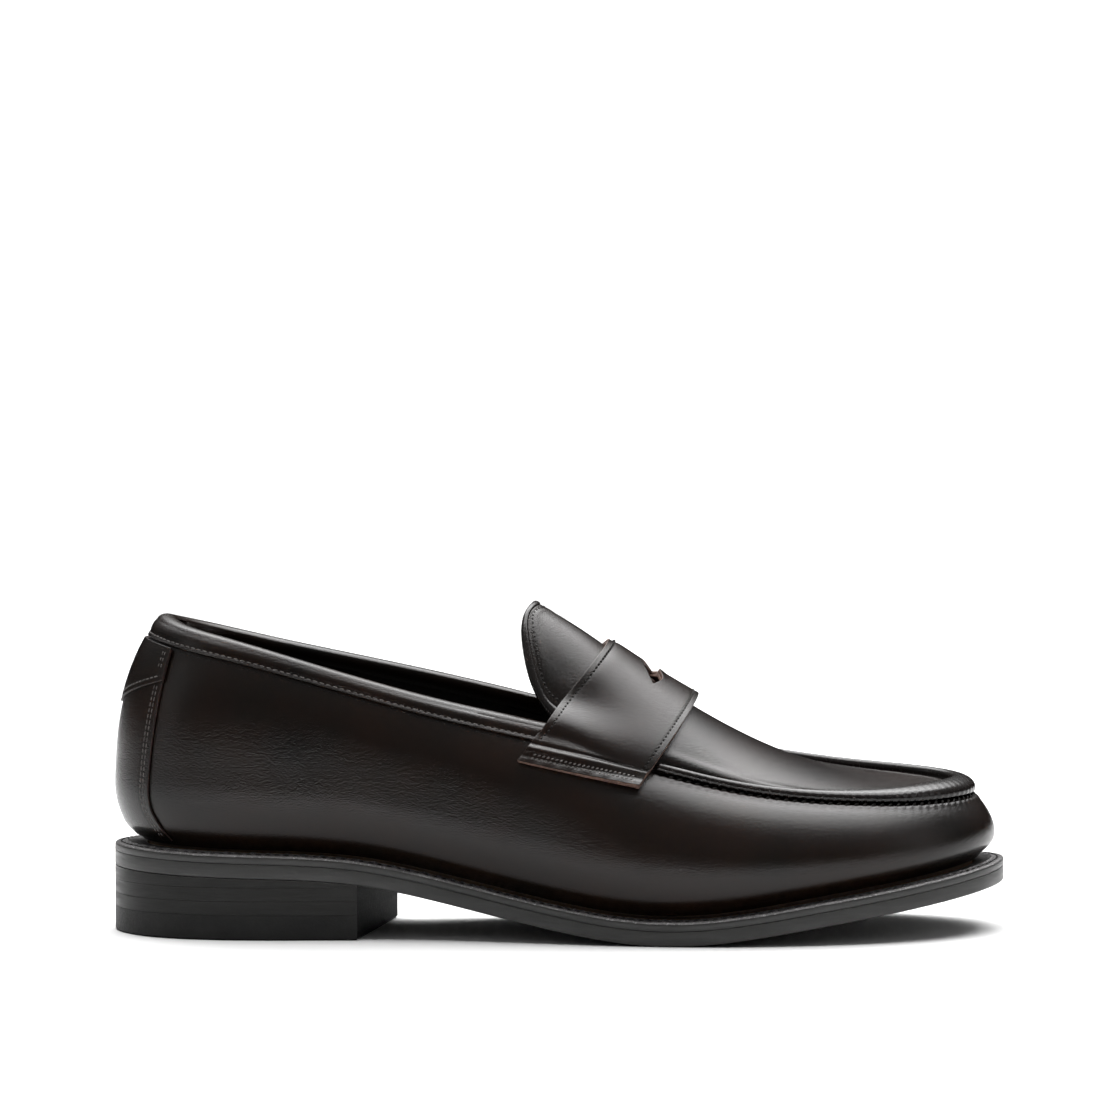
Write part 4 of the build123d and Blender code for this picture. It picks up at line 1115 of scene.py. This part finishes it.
open_at = [j for j, c in enumerate(cuts) if c[2]]
slot_a, slot_b = open_at[0], open_at[-1]
cut_back = np.array([c[0] for c in cuts])
cut_front = np.array([c[1] for c in cuts])
for start, stop, end in ((0, slot_a, slot_a), (slot_b + 1, STRAP_COLS, slot_b)):
    cut_back[start:stop] = cut_front[start:stop] = (cut_back[end] + cut_front[end]) / 2
for end in (slot_a, slot_b):
    cut_back[end] = cut_front[end] = (cut_back[end] + cut_front[end]) / 2


def strap_sheet(rows=52):
    """Parameters and faces of the strap, in a part behind the slot and one ahead of it."""
    share = np.linspace(0, 1, rows)[:, None]
    t = np.vstack([cut_back * share, cut_front + (1 - cut_front) * share])
    s = np.broadcast_to(np.linspace(0, 1, STRAP_COLS), t.shape)
    faces = grid_faces(rows, STRAP_COLS)
    return t, s, np.vstack([faces, faces + rows * STRAP_COLS])


t, s, faces = strap_sheet()
base = on_strap(t, s)
normal = unit(on_strap(t, s, strap_normal))
relief = strap_relief(t, s)
near = np.abs(base[..., 1] - slot_y0) < half + 1.5
gap_front = (t - cut_front) * width_at(s)
slot_lip = 0.45 * hump(gap_front, 0, 1.6) * (gap_front > -1e-6) * near
slot_lip = slot_lip * hump(base[..., 1], slot_y0, 7.0)
across = t * width_at(s)
sag = 0.75 * hump(across, 0, 3.0) * hump(s, 0.5, 0.16)
strap_low = STRAP_GAP + STRAP_LINING_T + GAP
for name, low, high, keep_relief, materials, node, slot in (
        ("strap_leather", strap_low, strap_low + STRAP_T, 1.0, [calf, raw_edge], "saddle_strap", "upper_leather"),
        ("strap_backing", STRAP_GAP, STRAP_GAP + STRAP_LINING_T, 0.0, [raw_edge, raw_edge], "saddle_strap_lining",
         "lining_leather")):
    r = relief * keep_relief + slot_lip - sag
    piece = layer(name, base, normal, faces, high + r, low + r * 0.8, materials, bevel=0.10)
    bends(piece, slot, node)

strap_top = strap_low + STRAP_T


def strap_line(points_ts, count):
    """A line on the strap's face through (t, s) points."""
    ts = np.array(points_ts, float)
    k = np.linspace(0, len(ts) - 1, count)
    t = np.interp(k, np.arange(len(ts)), ts[:, 0])
    s = np.interp(k, np.arange(len(ts)), ts[:, 1])
    n = unit(on_strap(t, s, strap_normal))
    return on_strap(t, s) + n * (strap_top + strap_relief(t, s))[:, None], n


w = strap_width.mean()
length = strap_length.mean()
edge_rows = []
for t_at in (2.1 / w, 1 - 2.1 / w):
    edge_rows.append(strap_line([(t_at, 7.6 / length), (t_at, 1 - 7.6 / length)], 900))
edge_seam = sew("strap_edge_seam", edge_rows, 1.75, 1.1, 0.75, thread_dark, sink=0.10, rise=0.15)
bends(edge_seam, "thread", "saddle_strap_stitches")
zig_rows = []
for end in (0, 1):
    for distance in (1.9, 3.3):
        s_at = distance / length
        s_at = 1 - s_at if end else s_at
        zig_rows.append(strap_line([(2.2 / w, s_at), (1 - 2.2 / w, s_at)], 400))
zig_seam = sew("strap_bar_seam", zig_rows, 1.5, 1.25, 0.55, thread_grey, tilt=34.0, sink=0.12, rise=0.3)
bends(zig_seam, "thread")


# ---------------------------------------------------------------- collar, back stay and heel tab

collar_us = np.linspace(-0.30, 0.30, 520)
sec = [off(collar_us, v, d) for v, d in (
    (0.900, 0.22), (0.900, 0.95), (0.904, 1.22), (0.913, 1.18), (0.921, 1.05), (0.930, 1.22), (0.942, 1.52),
    (0.958, 1.72), (0.975, 1.74), (0.990, 1.62))]
top = wall(collar_us, 1.0)
n3 = flat_out(collar_us)
for angle in np.linspace(12, 168, 9):
    a = math.radians(angle)
    sec.append(top + n3 * (-1.70 + 3.25 * math.cos(a)) + up * (0.25 + 2.0 * math.sin(a)))
sec += [off(collar_us, v, d) for v, d in (
    (0.992, -4.95), (0.972, -4.85), (0.950, -4.7), (0.945, -4.35), (0.950, -3.98), (0.975, -3.95), (0.998, -3.9))]
sec.append(top + n3 * -2.0 + up * 0.45)
sec += [off(collar_us, v, d) for v, d in ((0.999, 0.25), (0.96, 0.22), (0.93, 0.22))]
collar = tube("collar_roll", np.array(sec).transpose(1, 0, 2), [calf])
slope = (back_high - back_low) / np.linalg.norm(back_high - back_low)
bm = bmesh.new()
bm.from_mesh(collar.data)
bmesh.ops.bisect_plane(
    bm, geom=list(bm.verts) + list(bm.edges) + list(bm.faces), dist=1e-7,
    plane_co=((back_low[0] - 0.5) * MM, 0.0, back_low[1] * MM), plane_no=(slope[1], 0.0, -slope[0]), clear_outer=True)
bmesh.ops.holes_fill(bm, edges=[e for e in bm.edges if e.is_boundary], sides=0)
bm.to_mesh(collar.data)
bm.free()
rides(collar, "upper_leather", "collar_band")


def behind_strap(p):
    """Keeps the points of a line that lie behind the strap."""
    reach = (p[:, 0] - back_low[0] + 1.2) * slope[1] - (p[:, 2] - back_low[1]) * slope[0]
    return reach < 0


seam_us = np.linspace(-0.29, 0.29, 2400)
line = off(seam_us, 0.9195, 1.10)
ok = behind_strap(line)
collar_seam = sew("collar_seam", [(line[ok], wall_normal(seam_us, 0.9195)[ok])], 2.3, 1.75, 0.46, thread_grey,
                  sink=0.10, rise=0.28)
rides(collar_seam, "thread", "collar_stitches")
line = off(seam_us, 0.884, 0.02)
ok = behind_strap(line) & (np.abs(seam_us) > 0.05)
lower_rows = [(line[part], wall_normal(seam_us, 0.884)[part]) for part in (ok & (seam_us < 0), ok & (seam_us > 0))]
lower_seam = sew("collar_lower_seam", lower_rows, 2.3, 1.6, 0.42, thread_dark, sink=0.16, rise=0.2)
rides(lower_seam, "thread")

stay_edge = smooth([0.03, 0.085, 0.17, 0.27, 0.44, 0.65, 0.92],
                   [0.0475, 0.0462, 0.0418, 0.0404, 0.0417, 0.044, 0.0456])
V, S = np.meshgrid(np.linspace(0.03, STAY_TOP, 150), np.linspace(-1, 1, 81), indexing="ij")
U = stay_edge(V) * S
base = wall(U, V)
normal = grid_normals(base)
normal = normal * np.sign((normal * wall_normal(U, V)).sum(-1, keepdims=True))
edge_gap = (1 - np.abs(S)) * stay_edge(V) * HEEL_TURN
groove = -0.16 * hump(edge_gap, 2.2, 0.3) - 0.16 * hump(edge_gap, 3.6, 0.3)
stay = layer("back_stay_strip", base, normal, grid_faces(*U.shape), 0.85 + groove + draped(U, V), 0.1 + draped(U, V),
             [calf, dyed_edge], bevel=0.14)
rides(stay, "upper_leather", "back_stay")

stay_rows = []
vs = np.linspace(0.055, 0.86, 500)
vs = vs[vs < 0.715]  # up to where the heel tab covers it
for side in (-1, 1):
    for inset in (2.2, 3.6):
        u = side * (stay_edge(vs) - inset / HEEL_TURN)
        stay_rows.append((off(u, vs, 0.77 + draped(u, vs)), wall_normal(u, vs)))
stay_seam = sew("back_stay_seam", stay_rows, 2.0, 1.55, 0.44, thread_grey, sink=0.10, rise=0.28)
rides(stay_seam, "thread", "back_stay_stitches")


def tab_low(u):
    """Where the lower edge of the heel tab is: a V, lowest in the middle."""
    return 0.73 - 0.14 * (1 - np.abs(u) / TAB_HALF)


R, S = np.meshgrid(np.linspace(0, 1, 60), np.linspace(-1, 1, 81), indexing="ij")
V = STAY_TOP + (tab_low(TAB_HALF * S) - STAY_TOP) * (1 - R)
U = S * (stay_edge(V) * 1.01)
tab_gap = R * (STAY_TOP - tab_low(TAB_HALF * S)) * BACK_HEIGHT
tab_side = (1 - np.abs(S)) * stay_edge(V) * HEEL_TURN
groove = -0.14 * hump(tab_gap, 1.9, 0.3) - 0.14 * hump(tab_side, 2.0, 0.3)
tab = layer("heel_tab_leather", wall(U, V), wall_normal(U, V), grid_faces(*U.shape), 1.6 + groove, 0.95,
            [calf, dyed_edge], bevel=0.14)
rides(tab, "upper_leather", "heel_tab")
tab_rows = []
us = np.linspace(-0.0425, 0.0425, 500)
for half_us in (us[us < -0.0008], us[us > 0.0008]):
    tab_rows.append((off(half_us, tab_low(half_us) + 0.027, 1.52), wall_normal(half_us, tab_low(half_us))))
vs = np.linspace(0.77, 0.875, 200)
for side in (-1, 1):
    for inset in (2.0, 3.3):
        u = side * (stay_edge(vs) - inset / HEEL_TURN)
        tab_rows.append((off(u, vs, 1.52), wall_normal(u, vs)))
tab_seam = sew("heel_tab_seam", tab_rows, 2.0, 1.5, 0.44, thread_grey, sink=0.10, rise=0.28)
rides(tab_seam, "thread", "heel_tab_stitches")


# ---------------------------------------------------------------- what stays as the frame has it

for name in ("shank", "heel_nails"):
    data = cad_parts[name].data
    data.materials.clear()
    data.materials.append(steel)


# ---------------------------------------------------------------- floor, light and camera

floor_mesh = bpy.data.meshes.new("studio_floor")
floor_mesh.from_pydata([(-2.6, -0.42, 0.0), (2.6, -0.42, 0.0), (2.6, 1.5, 0.0), (-2.6, 1.5, 0.0)], [], [[0, 1, 2, 3]])
floor = bpy.data.objects.new("studio_floor", floor_mesh)
bpy.context.scene.collection.objects.link(floor)
paper = finish("backdrop_paper", (0.65, 0.65, 0.65), (0.67, 0.67, 0.67), 900.0, 0.7, 0.02, [("noise", 3.0, 0.02)],
               specular=0.2)
floor_mesh.materials.append(paper)


def area_light(name, where, target, size, power):
    light = bpy.data.lights.new(name, "AREA")
    light.shape = "RECTANGLE"
    light.size, light.size_y = size
    light.energy = power
    obj = bpy.data.objects.new(name, light)
    obj.location = where
    bpy.context.scene.collection.objects.link(obj)
    aim = Vector(target) - obj.location
    obj.rotation_euler = aim.to_track_quat("-Z", "Y").to_euler()
    return obj


overhead = area_light("overhead_softbox", (0.12, 0.13, 1.25), (0.12, 0.05, 0.0), (1.6, 1.06), 40.0)
back_wash = area_light("floor_wash", (0.0, 1.3, 1.6), (0.0, 1.0, 0.0), (3.2, 1.4), 40.0)
back_wash.data.spread = math.radians(100.0)
front_wash = area_light("front_wash", (0.0, -0.37, 0.6), (0.0, -0.37, 0.0), (2.2, 0.06), 8.0)
front_wash.data.spread = math.radians(22.0)
toe_card = area_light("toe_card", (1.3, -0.5, 0.5), (0.12, 0.0, 0.03), (0.25, 0.9), 1.2)
heel_card = area_light("heel_card", (-1.4, -0.5, 0.5), (-0.12, 0.0, 0.05), (0.25, 0.9), 1.0)

world = bpy.data.worlds.new("studio")
bpy.context.scene.world = world
world.use_nodes = True
tree = world.node_tree
tree.nodes.clear()
height = make_node(tree, "SeparateXYZ", Vector=make_node(tree, "TexCoord").outputs["Generated"]).outputs["Z"]
grey = ramp(tree, height, [(0.0, (0.01,) * 3), (0.16, (0.02,) * 3), (0.38, (0.22,) * 3), (0.65, (0.34,) * 3),
                           (1.0, (0.20,) * 3)])
glow = make_node(tree, "Background", Color=grey)
white = make_node(tree, "Background", Color=(1.0, 1.0, 1.0, 1.0), Strength=1.15)
mix = make_node(tree, "MixShader")
for socket, source in zip(mix.inputs, (make_node(tree, "LightPath").outputs["Is Camera Ray"], glow.outputs[0],
                                       white.outputs[0])):
    tree.links.new(source, socket)
make_node(tree, "OutputWorld", Surface=mix.outputs[0])

lens = bpy.data.cameras.new("photo_camera")
lens.sensor_width = 36.0
lens.lens = 172.4
camera = bpy.data.objects.new("photo_camera", lens)
camera.location = (0.0, -1.8, 0.230)
camera.rotation_euler = (math.radians(90 - 3.355), 0.0, 0.0)
bpy.context.scene.collection.objects.link(camera)
bpy.context.scene.camera = camera
bpy.context.scene.view_settings.view_transform = "Standard"
